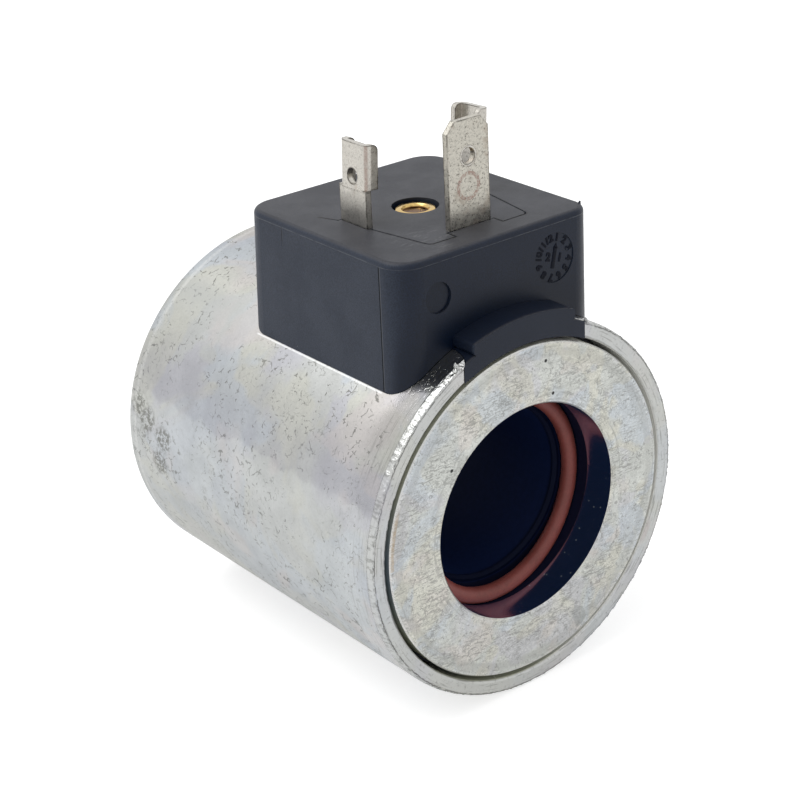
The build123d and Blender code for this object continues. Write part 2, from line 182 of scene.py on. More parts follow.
def ramp(tree, value, low, high, start=0.0, end=1.0):
    # value from low..high becomes start..end, held at both ends
    node = addNode(tree, "ShaderNodeMapRange", clamp=True, interpolation_type="SMOOTHSTEP")
    names = ("Value", "From Min", "From Max", "To Min", "To Max")
    for name, number in zip(names, (value, low, high, start, end)):
        setSocket(tree, node.inputs[name], number)
    return node.outputs["Result"]


def fade(tree, value, low, high):
    # 1 up to low, 0 from high
    return ramp(tree, value, low, high, 1.0, 0.0)


def band(tree, value, centre, halfWidth, soft):
    # 1 within halfWidth of a centre, 0 beyond it by soft
    offset = maths(tree, "ABSOLUTE", maths(tree, "SUBTRACT", value, centre))
    return fade(tree, offset, halfWidth, halfWidth + soft)


def spot(tree, point, centre, radius, soft):
    # 1 within a radius of a place, 0 beyond it by soft
    return fade(tree, vectorMaths(tree, "DISTANCE", point, centre), radius, radius + soft)


def lineGap(tree, point, start, end):
    # distance in millimetres from the stretch between two places
    along = Vector(end) - Vector(start)
    offset = vectorMaths(tree, "SUBTRACT", point, tuple(start))
    share = vectorMaths(tree, "DOT_PRODUCT", offset, tuple(along))
    share = maths(tree, "DIVIDE", share, along.length_squared, clamp=True)
    return vectorMaths(tree, "DISTANCE", offset, vectorMaths(tree, "SCALE", tuple(along), scale=share))


def edgeWear(tree, reach):
    # 1 along the sharp edges of a piece, 0 beyond a reach in millimetres
    node = addNode(tree, "ShaderNodeAmbientOcclusion", samples=6, inside=True, only_local=True)
    node.inputs["Distance"].default_value = reach * mm
    return fade(tree, node.outputs["AO"], 0.72, 0.95)


def mixColour(tree, amount, first, second, blend="MIX"):
    node = addNode(tree, "ShaderNodeMix", data_type="RGBA", blend_type=blend)
    setSocket(tree, node.inputs["Factor"], amount)
    setSocket(tree, node.inputs[6], first)
    setSocket(tree, node.inputs[7], second)
    return node.outputs[2]


def tinted(tree, colour, tint, strength, *masks):
    # colour with a tint laid over it, as far as the masks let it through
    return mixColour(tree, product(tree, strength, *masks), colour, tint)


def clouded(tree, colour, pattern, darkest, lightest):
    # colour made darker and lighter by a noise
    return mixColour(tree, 1.0, colour, ramp(tree, pattern, 0.3, 0.7, darkest, lightest), "MULTIPLY")


def bumpFrom(tree, height, distance, normal=None):
    # height is 0..1, distance its real depth in millimetres
    node = addNode(tree, "ShaderNodeBump")
    node.inputs["Strength"].default_value = 1.0
    node.inputs["Distance"].default_value = distance * mm
    setSocket(tree, node.inputs["Height"], height)
    if normal is not None:
        tree.links.new(normal, node.inputs["Normal"])
    return node.outputs["Normal"]


def finishShader(tree, **sockets):
    shader = tree.nodes["Principled BSDF"]
    for name, value in sockets.items():
        setSocket(tree, shader.inputs[name.replace("_", " ")], value)


def useMaterial(material, *names):
    for name in names:
        piece = nodes[name]
        if not piece.data.materials:
            piece.data.materials.append(material)
        for slot in piece.material_slots:
            slot.material = material


# zinc: pale plating with patches of colour, worm-like cracks, specks and rubbed places
zincLook = {
    "colour": (0.480, 0.490, 0.480),
    "tints": ((0.445, 0.445, 0.485), (0.515, 0.515, 0.460), (0.455, 0.490, 0.530)),
    "warm": (0.530, 0.500, 0.490),
    "patchSize": 15.0,
    "patchStrength": 0.7,
    "crackColour": (0.15, 0.15, 0.135),
    "crackStrength": 0.80,
    "roughness": 0.40,
    "frontRoughness": 0.10,
    "frontReach": 5.5,
    "paintedStreakAngle": (2.81, 2.85),
    "paintedStreakColour": (0.62, 0.64, 0.64),
    "paintedStreakStrength": 0.36,
    "paintedBandColour": (0.39, 0.39, 0.43),
    "paintedBandStrength": 0.38,
    "darkerAndShadeColour": (0.39, 0.40, 0.39),
    "upperStrength": 0.75,
    "underShadeStrength": 0.45,
    "rearHighlightDepth": 51.6,
    "rearHighlightColour": (0.75, 0.75, 0.73),
    "rearHighlightStrength": 0.30,
    "footX": -15.86,
    "footDepth": 20.3,
    "footHalfLength": 12.4,
    "footHighlightColour": (0.85, 0.86, 0.86),
    "footHighlightStrength": 0.55,
    "rubbedPlaces": ((-24.2, 21.6, 4.0), (-24.4, 17.6, 2.5), (-24.5, 18.9, -1.2), (-23.9, 23.6, 5.4)),
    "rubbedRadius": 1.2,
    "rubbedColour": (0.20, 0.20, 0.18),
    "rubbedStrength": 0.75,
    "stainPlace": (19.6, -26.6, -10.0),
    "stainColour": (0.34, 0.20, 0.18),
    "stainStrength": 0.45,
}
rimLook = {
    "bareColour": (0.60, 0.61, 0.60),
    "taperLength": 1.05,
    "taperStrength": 0.7,
    "taperRoughness": 0.30,
    "edgeRadius": 24.12,
    "edgeColour": (0.11, 0.11, 0.105),
    "edgeStrength": 0.85,
    "lipDepth": 0.35,
    "lipRadius": 23.9,
    "lipStrength": 0.5,
    "lipRoughness": 0.36,
}
# painted shade and light for the gap round the plate
gapPaintedShadeLook = {
    "colour": (0.46, 0.47, 0.38),
    "blue": (0.21, 0.26, 0.29),
    "pale": (0.92, 0.92, 0.88),
    "inner": 21.8,
    "outer": 22.5,
    "frontDepth": 0.18,
    "rearDepth": 5.0,
}


def patchTint(tree, point, look):
    # broad patches of three tints over the plain colour, with a warm one over them
    colour = look["colour"]
    size, strength = look["patchSize"], look["patchStrength"]
    channels = noiseColours(tree, point, 1 / size, 4.0, 0.5, 0.8)
    for channel, tint in zip(channels, look["tints"]):
        colour = mixColour(tree, ramp(tree, channel, 0.50, 0.57, 0.0, strength), colour, tint)
    elsewhere = vectorMaths(tree, "ADD", point, (31.7, 12.9, 47.3))
    warmth = noiseAt(tree, elsewhere, 1.4 / size, 3.0, 0.5, 0.5)
    return mixColour(tree, ramp(tree, warmth, 0.55, 0.66, 0.0, strength), colour, look["warm"])


def hairCracks(tree, point, cellSize, width, share):
    # broken pieces of a crackle net; share is about how much of the net stays
    bent = warped(tree, point, 1.3, 0.5)
    border = cellAt(tree, bent, 1 / cellSize, "DISTANCE_TO_EDGE")["Distance"]
    net = fade(tree, border, 0.3 * width, width)
    kept = noiseAt(tree, vectorMaths(tree, "ADD", point, (5, 9, 2)), 1.1, 1.0)
    return product(tree, net, ramp(tree, kept, 0.60 - share, 0.66 - share))


def wormMarks(tree, point, scale, spacing, width, share):
    # dashed curved marks on the contour lines of a noise; spacing and width are shares of its range
    contour = maths(tree, "PINGPONG", noiseAt(tree, point, scale, 3.0, 0.6, 0.3), spacing / 2)
    line = fade(tree, contour, 0.4 * width, width)
    kept = noiseAt(tree, vectorMaths(tree, "ADD", point, (3, 1, 7)), 1.6, 1.0)
    return product(tree, line, ramp(tree, kept, 0.60 - share, 0.64 - share))


def specks(tree, point, spacing, size, share):
    # small round specks; share is how many of the cells hold one
    cell = cellAt(tree, point, 1 / spacing)
    dot = fade(tree, cell["Distance"], 0.5 * size / spacing, 0.9 * size / spacing)
    return product(tree, dot, fade(tree, splitPoint(tree, cell["Color"])[0], share, share + 0.02))


def gapShade(tree, at, colour):
    # painted shade and light in the gap round the plate: both walls lose their metal and take painted
    # colours, olive above, slate blue lower down on the left and pale on the right
    look = gapPaintedShadeLook
    across = ramp(tree, at.radius, look["inner"] - 0.04, look["inner"])
    across = product(tree, across, fade(tree, at.radius, look["outer"], look["outer"] + 0.04))
    along = ramp(tree, at.depth, look["frontDepth"], look["frontDepth"] + 0.08)
    along = product(tree, along, fade(tree, at.depth, look["rearDepth"], look["rearDepth"] + 1.0))
    inGap = product(tree, across, along)
    side = maths(tree, "ABSOLUTE", at.angle)
    shade = mixColour(tree, ramp(tree, side, 2.6, 3.1), look["colour"], look["blue"])
    shade = mixColour(tree, fade(tree, side, 1.1, 1.7), shade, look["pale"])
    return mixColour(tree, inGap, colour, shade), maths(tree, "SUBTRACT", 1.0, inGap)


def canMarks(tree, at):
    # cracks, dashed curves, ticks and specks, which lie in clusters
    low, wide, fine = noiseColours(tree, at.point, 0.10, 2.0)
    cracks = hairCracks(tree, at.point, 1.5, 0.065, 0.075)
    cracks = product(tree, cracks, ramp(tree, low, 0.44, 0.58, 0.15, 1.0))
    worms = wormMarks(tree, at.point, 0.20, 0.085, 0.0055, 0.07)
    worms = product(tree, worms, ramp(tree, wide, 0.46, 0.56, 0.05, 1.0))
    stretched = vectorMaths(tree, "MULTIPLY", at.point, (1.0, 0.55, 1.0))
    ticks = hairCracks(tree, stretched, 0.50, 0.11, -0.05)
    ticks = product(tree, ticks, ramp(tree, fine, 0.48, 0.60, 0.1, 0.7))
    dots = specks(tree, at.point, 0.8, 0.10, 0.25)
    grooves = highest(tree, cracks, worms)
    return highest(tree, grooves, ticks, product(tree, dots, 0.8)), grooves


def rubbedPlaces(tree, at):
    # grey ragged places near the rear, where the plating is rubbed
    ragged = warped(tree, at.point, 0.8, 1.0)
    rubbed = 0.0
    for place in zincLook["rubbedPlaces"]:
        rubbed = highest(tree, spot(tree, ragged, place, zincLook["rubbedRadius"], 1.2), rubbed)
    return product(tree, rubbed, ramp(tree, noiseAt(tree, at.point, 1.6, 4.0, 0.75), 0.43, 0.54))


def taperMarks(tree, at, colour):
    # swage marks across the tapered band, and a rough dark line of painted shade along its front edge
    look = rimLook
    edgeRadius = look["edgeRadius"]
    onTaper = band(tree, at.depth, look["taperLength"] / 2, 0.42, 0.12)
    onTaper = product(tree, onTaper, ramp(tree, at.radius, edgeRadius - 0.05, edgeRadius + 0.05))
    around = product(tree, at.angle, canRadius / mm)
    around = joinPoint(tree, around, product(tree, at.depth, 0.35), at.radius)
    swage = noiseAt(tree, around, 2.2, 3.0, 0.6)
    colour = tinted(tree, colour, look["bareColour"], look["taperStrength"], onTaper)
    dark = ramp(tree, swage, 0.48, 0.64, 0.0, 0.55)
    colour = mixColour(tree, product(tree, onTaper, dark), colour, zincLook["crackColour"])
    # the rough dark line is painted shade of the ridge's front edge, and also a bump
    wander = ramp(tree, noiseAt(tree, at.point, 1.6, 4.0, 0.65), 0.2, 0.8, -0.09, 0.09)
    edge = band(tree, maths(tree, "ADD", at.radius, wander), edgeRadius, 0.035, 0.07)
    edge = product(tree, edge, fade(tree, at.depth, 0.25, 0.35))
    edge = product(tree, edge, ramp(tree, noiseAt(tree, at.point, 0.8, 3.0), 0.38, 0.52, 0.35, 1.0))
    colour = tinted(tree, colour, look["edgeColour"], look["edgeStrength"], edge)
    return colour, onTaper, swage, edge


def sideShine(tree, at, colour, cloud, behindRim):
    # faint turned lines behind the rim, a painted highlight streak along the side and a painted darker
    # reflection band above it
    look = zincLook
    start, end = look["paintedStreakAngle"]
    lines = noiseAt(tree, joinPoint(tree, product(tree, at.angle, 1.5), at.depth), 3.0, 3.0, 0.6)
    lines = product(tree, ramp(tree, lines, 0.50, 0.66), band(tree, at.depth, 2.8, 1.4, 1.6))
    colour = tinted(tree, colour, look["crackColour"], 0.30, lines)
    # painted highlight streak along the side
    wander = ramp(tree, noiseAt(tree, at.point, 0.25, 3.0), 0.3, 0.7, -0.03, 0.03)
    wander = maths(tree, "ADD", maths(tree, "ABSOLUTE", at.angle), wander)
    streak = highest(tree, ramp(tree, wander, start, end), ramp(tree, at.z, 0, -1))
    streak = product(tree, streak, ramp(tree, at.z, -14, 2, 0.15, 1.0))
    streak = product(tree, streak, ramp(tree, cloud, 0.3, 0.7, 0.6, 1.0))
    colour = tinted(tree, colour, look["paintedStreakColour"], look["paintedStreakStrength"], streak, behindRim)
    # painted darker reflection band above the streak
    darker = product(tree, ramp(tree, wander, 2.35, 2.75), fade(tree, wander, start, end))
    darker = product(tree, darker, ramp(tree, at.z, 0, 3), ramp(tree, cloud, 0.3, 0.7, 1.0, 0.5))
    return tinted(tree, colour, look["paintedBandColour"], look["paintedBandStrength"], darker)


def sideStains(tree, at, colour, grain):
    # darker at the rear upper left, painted shade low on the left, painted highlights at the rear edge
    # and along the head's foot, a stain on the lip
    look = zincLook
    # darker at the rear upper left
    upper = product(tree, fade(tree, at.angle, 2.15, 2.45), ramp(tree, at.depth, 28, 44))
    upper = product(tree, upper, ramp(tree, at.x, -12, -15), ramp(tree, at.z, 5, 9))
    colour = tinted(tree, colour, look["darkerAndShadeColour"], look["upperStrength"], upper)
    # painted shade low on the left, where the side faces the shadowed floor
    under = product(tree, ramp(tree, at.z, 0, -9), ramp(tree, at.depth, 14, 40))
    under = product(tree, under, ramp(tree, at.x, -8, -12))
    colour = tinted(tree, colour, look["darkerAndShadeColour"], look["underShadeStrength"], under)
    # painted highlight along the rear edge
    rearHighlight = band(tree, at.depth, look["rearHighlightDepth"], 0.12, 0.35)
    rearHighlight = product(tree, rearHighlight, ramp(tree, grain, 0.35, 0.55, 0.3, 1.0))
    colour = tinted(tree, colour, look["rearHighlightColour"], look["rearHighlightStrength"], rearHighlight)
    # painted highlight along the foot of the head
    footHighlight = product(tree, band(tree, at.x, look["footX"], 0.05, 0.06), ramp(tree, at.z, 5, 6))
    alongFoot = band(tree, at.depth, look["footDepth"], look["footHalfLength"], 0.5)
    footHighlight = product(tree, footHighlight, alongFoot)
    colour = tinted(tree, colour, look["footHighlightColour"], look["footHighlightStrength"], footHighlight)
    stain = spot(tree, at.point, look["stainPlace"], 0.9, 1.6)
    stain = product(tree, stain, fade(tree, at.radius, 22.8, 23.3))
    return tinted(tree, colour, look["stainColour"], look["stainStrength"], stain)


def lipMarks(tree, at, colour):
    # bare metal on the narrow lip of the can, with dark marks across and along it
    look = rimLook
    onLip = fade(tree, at.depth, look["lipDepth"], look["lipDepth"] + 0.15)
    onLip = product(tree, onLip, fade(tree, at.radius, look["lipRadius"], look["lipRadius"] + 0.2))
    across = joinPoint(tree, product(tree, at.angle, 26.0), product(tree, at.radius, 0.55))
    marks = noiseAt(tree, across, 2.4, 4.0, 0.7)
    lines = noiseAt(tree, joinPoint(tree, product(tree, at.angle, 1.4), at.radius), 3.6, 3.0, 0.6)
    colour = tinted(tree, colour, look["bareColour"], look["lipStrength"], onLip)
    dark = highest(tree, ramp(tree, marks, 0.56, 0.68), ramp(tree, lines, 0.56, 0.66))
    colour = tinted(tree, colour, zincLook["crackColour"], look["lipStrength"], onLip, dark)
    return colour, onLip, maths(tree, "ADD", marks, lines)


def canMaterial():
    material, tree = startMaterial("canZinc")
    look = zincLook
    at = placesOf(tree)
    cloud = noiseAt(tree, at.point, 0.22, 5.0, 0.6)
    grain = noiseAt(tree, at.point, 3.0, 4.0, 0.75)
    colour = clouded(tree, patchTint(tree, at.point, look), cloud, 0.93, 1.05)
    colour = clouded(tree, colour, grain, 0.93, 1.05)
    marks, grooves = canMarks(tree, at)
    behindRim = ramp(tree, at.depth, 0.8, 4.0, 0.25, 1.0)
    colour = tinted(tree, colour, look["crackColour"], look["crackStrength"], marks, behindRim)
    colour, onTaper, swage, edgeLine = taperMarks(tree, at, colour)
    colour = sideShine(tree, at, colour, cloud, behindRim)
    rubbed = rubbedPlaces(tree, at)
    colour = tinted(tree, colour, look["rubbedColour"], look["rubbedStrength"], rubbed)
    colour = sideStains(tree, at, colour, grain)
    colour, onLip, lipRelief = lipMarks(tree, at, colour)
    colour, metal = gapShade(tree, at, colour)

    height = maths(tree, "SUBTRACT", ramp(tree, cloud, 0.3, 0.7, 0.0, 0.5), product(tree, grooves, 0.8))
    normal = bumpFrom(tree, height, 0.012)
    normal = bumpFrom(tree, product(tree, onTaper, swage), 0.12, normal)
    normal = bumpFrom(tree, edgeLine, 0.05, normal)
    normal = bumpFrom(tree, grain, 0.005, normal)
    normal = bumpFrom(tree, product(tree, onLip, lipRelief), 0.05, normal)
    near, far = look["frontReach"] - 2.0, look["frontReach"] + 1.5
    roughness = ramp(tree, at.depth, near, far, look["frontRoughness"], look["roughness"])
    roughness = maths(tree, "ADD", roughness, ramp(tree, cloud, 0.35, 0.65, 0.03, -0.03))
    roughness = maths(tree, "ADD", roughness, product(tree, highest(tree, rubbed, marks), 0.2))
    roughness = ramp(tree, onTaper, 0, 1, roughness, rimLook["taperRoughness"])
    roughness = ramp(tree, onLip, 0, 1, roughness, rimLook["lipRoughness"])
    finishShader(tree, Base_Color=colour, Metallic=metal, Roughness=roughness, Normal=normal)
    return material


plateLook = {
    "colour": (0.600, 0.615, 0.585),
    "tints": ((0.575, 0.575, 0.600), (0.640, 0.630, 0.550), (0.545, 0.590, 0.635)),
    "warm": (0.640, 0.605, 0.565),
    "patchSize": 8.0,
    "patchStrength": 0.7,
    "fleckColour": (0.90, 0.90, 0.86),
    "scratchColour": (0.20, 0.20, 0.19),
    "scratchStrength": 0.62,
    "scratchTurns": (0.3, 1.15, 2.1, 2.8),
    "roughness": 0.40,
    "ringRadii": (20.7, 15.2),
    "shadowRadius": 20.55,
    "rustRadius": 21.5,
    "rustAngle": 3.0,
    "rustColour": (0.48, 0.35, 0.20),
    "rustStrength": 0.6,
    "chamferRadius": 21.63,
    "chamferHighlightColour": (0.66, 0.66, 0.64),
    "chamferHighlightStrength": 0.6,
    "chamferRoughness": 0.25,
    "pits": ((-12.0, 9.9), (3.1, 19.3), (4.2, 14.7)),
    "pitRadius": 0.16,
    "pitColour": (0.05, 0.05, 0.05),
    "punchPlace": (7.6, -18.1),
    "punchRadius": 1.5,
    "punchColour": (0.28, 0.29, 0.28),
}
boreLook = {
    "radius": 14.25,
    "colour": (0.50, 0.47, 0.56),
    "roughness": 0.12,
    "dustColour": (0.9, 0.9, 0.9),
    "dustStrength": 0.8,
    "edgeDepth": 4.42,
    "edgeColour": (0.40, 0.34, 0.34),
    "edgeStrength": 0.8,
    "paintedBoreGlow": (0.0028, 0.0058, 0.0150),
    "paintedGlintColour": (0.10, 0.11, 0.12),
}


def strokes(tree, point, scale, turn, stretch, low, high):
    # short scratches along one direction
    node = addNode(tree, "ShaderNodeMapping")
    setSocket(tree, node.inputs["Vector"], point)
    node.inputs["Rotation"].default_value = turn
    node.inputs["Scale"].default_value = stretch
    return ramp(tree, noiseAt(tree, node.outputs["Vector"], scale, 2.0, 0.5), low, high)


def plateScratches(tree, point):
    # short scratches along four headings
    scratch = 0.0
    for index, heading in enumerate(plateLook["scratchTurns"]):
        place = vectorMaths(tree, "ADD", point, (17.0 * index, 0, 9.0 * index))
        line = strokes(tree, place, 5.2, (0, heading, 0), (0.16, 1, 1), 0.635, 0.66)
        scratch = highest(tree, line, scratch)
    return scratch


def plateMarks(tree, at, cloud, flecks):
    # scratches, dashed curves, ticks, specks, nicks and pinpricks, turned rings at both edges, and a
    # painted shadow ring inside the outer edge
    point = at.point
    outer, inner = plateLook["ringRadii"]
    low, wide, fine = noiseColours(tree, point, 0.22, 3.0)
    scratch = product(tree, plateScratches(tree, point), ramp(tree, low, 0.40, 0.58, 0.25, 1.0))
    worms = wormMarks(tree, point, 0.5, 0.08, 0.012, 0.07)
    worms = product(tree, worms, ramp(tree, wide, 0.42, 0.56, 0.1, 0.9))
    ticks = hairCracks(tree, point, 0.5, 0.15, 0.0)
    ticks = product(tree, ticks, ramp(tree, fine, 0.42, 0.58, 0.2, 0.9))
    rings = noiseAt(tree, joinPoint(tree, at.radius, product(tree, at.angle, 1.2)), 2.6, 3.0, 0.6)
    onRing = highest(tree, band(tree, at.radius, outer, 0.4, 0.6), band(tree, at.radius, inner, 0.5, 0.7))
    rings = product(tree, ramp(tree, rings, 0.50, 0.66), onRing, 0.65)
    dots = product(tree, specks(tree, point, 0.7, 0.12, 0.30), 0.9)
    dark = product(tree, ramp(tree, flecks, 0.565, 0.600), ramp(tree, low, 0.42, 0.56, 0.30, 0.8))
    pinpricks = specks(tree, point, 0.42, 0.11, 0.28)
    nicks = hairCracks(tree, vectorMaths(tree, "ADD", point, (7, 0, 3)), 0.62, 0.11, 0.02)
    shadow = band(tree, at.radius, plateLook["shadowRadius"], 0.35, 0.5)
    shadow = product(tree, shadow, ramp(tree, cloud, 0.35, 0.6, 0.3, 1.0), 0.45)
    lines = highest(tree, product(tree, scratch, 0.9), worms, ticks, rings, nicks)
    return highest(tree, lines, dots, dark, pinpricks, shadow), scratch


def platePits(tree, at):
    # three small pits, and a punch mark with one side cut off
    look = plateLook
    pits = 0.0
    for x, z in look["pits"]:
        pits = highest(tree, spot(tree, at.point, (x, frontY / mm, z), look["pitRadius"], 0.12), pits)
    x, z = look["punchPlace"]
    punch = spot(tree, at.point, (x, frontY / mm, z), look["punchRadius"], 0.12)
    across = splitPoint(tree, vectorMaths(tree, "SUBTRACT", at.point, (x, 0, z)))
    halfMoon = maths(tree, "ADD", product(tree, across[0], 0.94), product(tree, across[2], 0.34))
    return pits, product(tree, punch, ramp(tree, halfMoon, -0.55, -0.35))


def boreShade(tree, at, colour):
    # the bore is smooth and dark with pale specks of dust, and has a brown inner edge; a painted navy
    # glow lies over the bore, with painted glints on some specks
    look = boreLook
    inBore = fade(tree, at.radius, look["radius"] - 0.06, look["radius"])
    inBore = product(tree, inBore, ramp(tree, at.depth, 0.18, 0.22))
    colour = mixColour(tree, inBore, colour, look["colour"])
    dust = specks(tree, at.point, 0.9, 0.16, 0.25)
    colour = tinted(tree, colour, look["dustColour"], look["dustStrength"], inBore, dust)
    edge = product(tree, inBore, ramp(tree, at.depth, look["edgeDepth"] - 0.05, look["edgeDepth"]))
    colour = tinted(tree, colour, look["edgeColour"], look["edgeStrength"], edge)
    # painted glints and a painted navy glow, given off as emission
    paintedGlints = specks(tree, vectorMaths(tree, "ADD", at.point, (3, 8, 5)), 0.8, 0.13, 0.30)
    paintedBoreGlow = mixColour(tree, inBore, (0.0, 0.0, 0.0), look["paintedBoreGlow"])
    paintedBoreGlow = mixColour(tree, product(tree, inBore, paintedGlints), paintedBoreGlow, look["paintedGlintColour"])
    return colour, inBore, paintedBoreGlow


def plateMaterial():
    material, tree = startMaterial("plateZinc")
    look = plateLook
    at = placesOf(tree)
    cloud = noiseAt(tree, at.point, 0.35, 5.0, 0.65)
    grain = noiseAt(tree, at.point, 3.6, 4.0, 0.8)
    flecks = noiseAt(tree, warped(tree, at.point, 0.9, 0.4), 4.2, 5.0, 0.85)
    colour = clouded(tree, patchTint(tree, at.point, look), cloud, 0.92, 1.06)
    colour = clouded(tree, colour, grain, 0.90, 1.07)
    colour = mixColour(tree, ramp(tree, flecks, 0.38, 0.45, 0.45, 0.0), colour, look["fleckColour"])
    marks, scratch = plateMarks(tree, at, cloud, flecks)
    colour = tinted(tree, colour, look["scratchColour"], look["scratchStrength"], marks)
    rust = band(tree, at.radius, look["rustRadius"], 0.15, 0.25)
    rust = product(tree, rust, band(tree, at.angle, look["rustAngle"], 0.12, 0.15))
    rust = product(tree, rust, ramp(tree, grain, 0.35, 0.6, 0.3, 1.0))
    colour = tinted(tree, colour, look["rustColour"], look["rustStrength"], rust)
    pits, punch = platePits(tree, at)
    punched = product(tree, punch, ramp(tree, grain, 0.4, 0.6, 0.25, 0.6))
    colour = mixColour(tree, punched, colour, look["punchColour"])
    colour = mixColour(tree, pits, colour, look["pitColour"])
    # painted highlight on the outer chamfer, which is also smoother
    chamfer = ramp(tree, at.radius, look["chamferRadius"], look["chamferRadius"] + 0.03)
    chamfer = product(tree, chamfer, fade(tree, at.depth, 0.3, 0.5))
    colour = tinted(tree, colour, look["chamferHighlightColour"], look["chamferHighlightStrength"], chamfer)
    colour, inBore, paintedBoreGlow = boreShade(tree, at, colour)
    colour, metal = gapShade(tree, at, colour)

    rough = maths(tree, "ADD", look["roughness"], ramp(tree, cloud, 0.35, 0.65, 0.04, -0.04))
    rough = ramp(tree, inBore, 0, 1, rough, boreLook["roughness"])
    rough = ramp(tree, chamfer, 0, 1, rough, look["chamferRoughness"])
    sunk = highest(tree, product(tree, scratch, 0.4), pits, punch)
    height = maths(tree, "SUBTRACT", product(tree, grain, 0.35), sunk)
    height = product(tree, height, ramp(tree, inBore, 0, 1, 1.0, 0.05))
    normal = bumpFrom(tree, height, 0.03)
    # the bore's painted glow and glints go out as emission
    finishShader(tree, Base_Color=colour, Metallic=metal, Roughness=rough, Normal=normal,
                 Emission_Color=paintedBoreGlow, Emission_Strength=1.0)
    return material


canZinc = canMaterial()
plateZinc = plateMaterial()
useMaterial(canZinc, "housing_can")
useMaterial(plateZinc, "front_plate", "rear_plate")
print("zinc done")


# black moulding with a fine eroded skin; the front of the head is smoother, and painted shade makes it
# darker while painted light makes the top lighter
mouldLook = {
    "colour": (0.018, 0.025, 0.042),
    "paintedTopLightColour": (0.031, 0.033, 0.042),
    "paintedFrontShadeColour": (0.005, 0.010, 0.024),
    "roughness": 0.46,
    "frontRoughness": 0.36,
    "specular": 0.28,
    "shadeColour": (0.0008, 0.0045, 0.0150),
    "shadeStrength": 0.95,
    "discPlace": (-9.65, -22.9, 29.87),
    "discRadius": 1.9,
    "discStrength": 0.8,
    "seamColour": (0.0015, 0.0018, 0.0030),
    "seamStrength": 0.9,
    "seamHalfWidth": 0.17,
    "dustColour": (0.35, 0.36, 0.38),
    "dustStrength": 0.25,
    "scuffPlace": (-6.5, -17.5, 34.8),
    "scuffColour": (0.16, 0.165, 0.17),
    "scuffStrength": 0.35,
}
partingLook = {
    "leftX": -14.0,
    "lipDrop": 0.75,
    "lipColour": (0.12, 0.13, 0.15),
    "lipStrength": 0.45,
    "depth": 8.1,
    "slope": 0.05,
    "colour": (0.001, 0.001, 0.001),
    "strength": 0.9,
    "edgeColour": (0.10, 0.11, 0.13),
    "edgeStrength": 0.5,
    "kinkDepth": 27.0,
    "kinkColour": (0.004, 0.004, 0.005),
    "kinkStrength": 0.6,
}

# the carrier's seam in the top of the head, as (distance from the middle, y)
seamLine = ((3.62, -17.7), (3.62, -19.3), (7.20, -19.3), (7.66, -18.76), (9.16, -9.8), (9.40, -9.8))
seamRear = ((9.90, -4.70), (10.9, -2.2))


def carrierSeam(tree, at):
    # dark ragged gap along the seam's lines, the same on both sides
    mirrored = joinPoint(tree, maths(tree, "ABSOLUTE", at.x), at.y)
    gap = 9.0
    for line in (seamLine, seamRear):
        for start, end in zip(line, line[1:]):
            gap = maths(tree, "MINIMUM", gap, lineGap(tree, mirrored, (*start, 0), (*end, 0)))
    gap = maths(tree, "ADD", gap, ramp(tree, noiseAt(tree, at.point, 1.3, 3.0), 0.25, 0.75, -0.06, 0.08))
    return fade(tree, gap, mouldLook["seamHalfWidth"], mouldLook["seamHalfWidth"] + 0.09)


def partingLines(tree, at, colour, normal, onTop):
    # pale parting line just under the top, dark one down the left front corner, a short faint one behind
    look = partingLook
    drop = maths(tree, "SUBTRACT", headTopZ / mm, at.z)
    lip = band(tree, at.z, headTopZ / mm - look["lipDrop"], 0.025, 0.06)
    lip = product(tree, lip, maths(tree, "SUBTRACT", 1.0, onTop))
    lip = product(tree, lip, ramp(tree, noiseAt(tree, at.point, 0.7, 3.0), 0.35, 0.6, 0.2, 1.0))
    colour = tinted(tree, colour, look["lipColour"], look["lipStrength"], lip)
    onLeft = ramp(tree, at.x, look["leftX"], look["leftX"] - 0.4)
    below = product(tree, onLeft, fade(tree, at.z, headTopZ / mm - 1.0, headTopZ / mm - 0.7))
    along = maths(tree, "ADD", at.depth, product(tree, drop, look["slope"]))
    parting = product(tree, band(tree, along, look["depth"], 0.06, 0.05), below)
    edge = product(tree, band(tree, along, look["depth"] - 0.16, 0.03, 0.05), below)
    colour = tinted(tree, colour, look["edgeColour"], look["edgeStrength"], edge)
    colour = tinted(tree, colour, look["colour"], look["strength"], parting)
    kink = band(tree, at.depth, look["kinkDepth"], 0.04, 0.06)
    kink = product(tree, kink, below, fade(tree, drop, 2.2, 3.4))
    colour = tinted(tree, colour, look["kinkColour"], look["kinkStrength"], kink)
    normal = bumpFrom(tree, lip, 0.04, normal)
    normal = bumpFrom(tree, maths(tree, "SUBTRACT", 1.0, highest(tree, parting, kink)), 0.10, normal)
    return colour, normal, parting


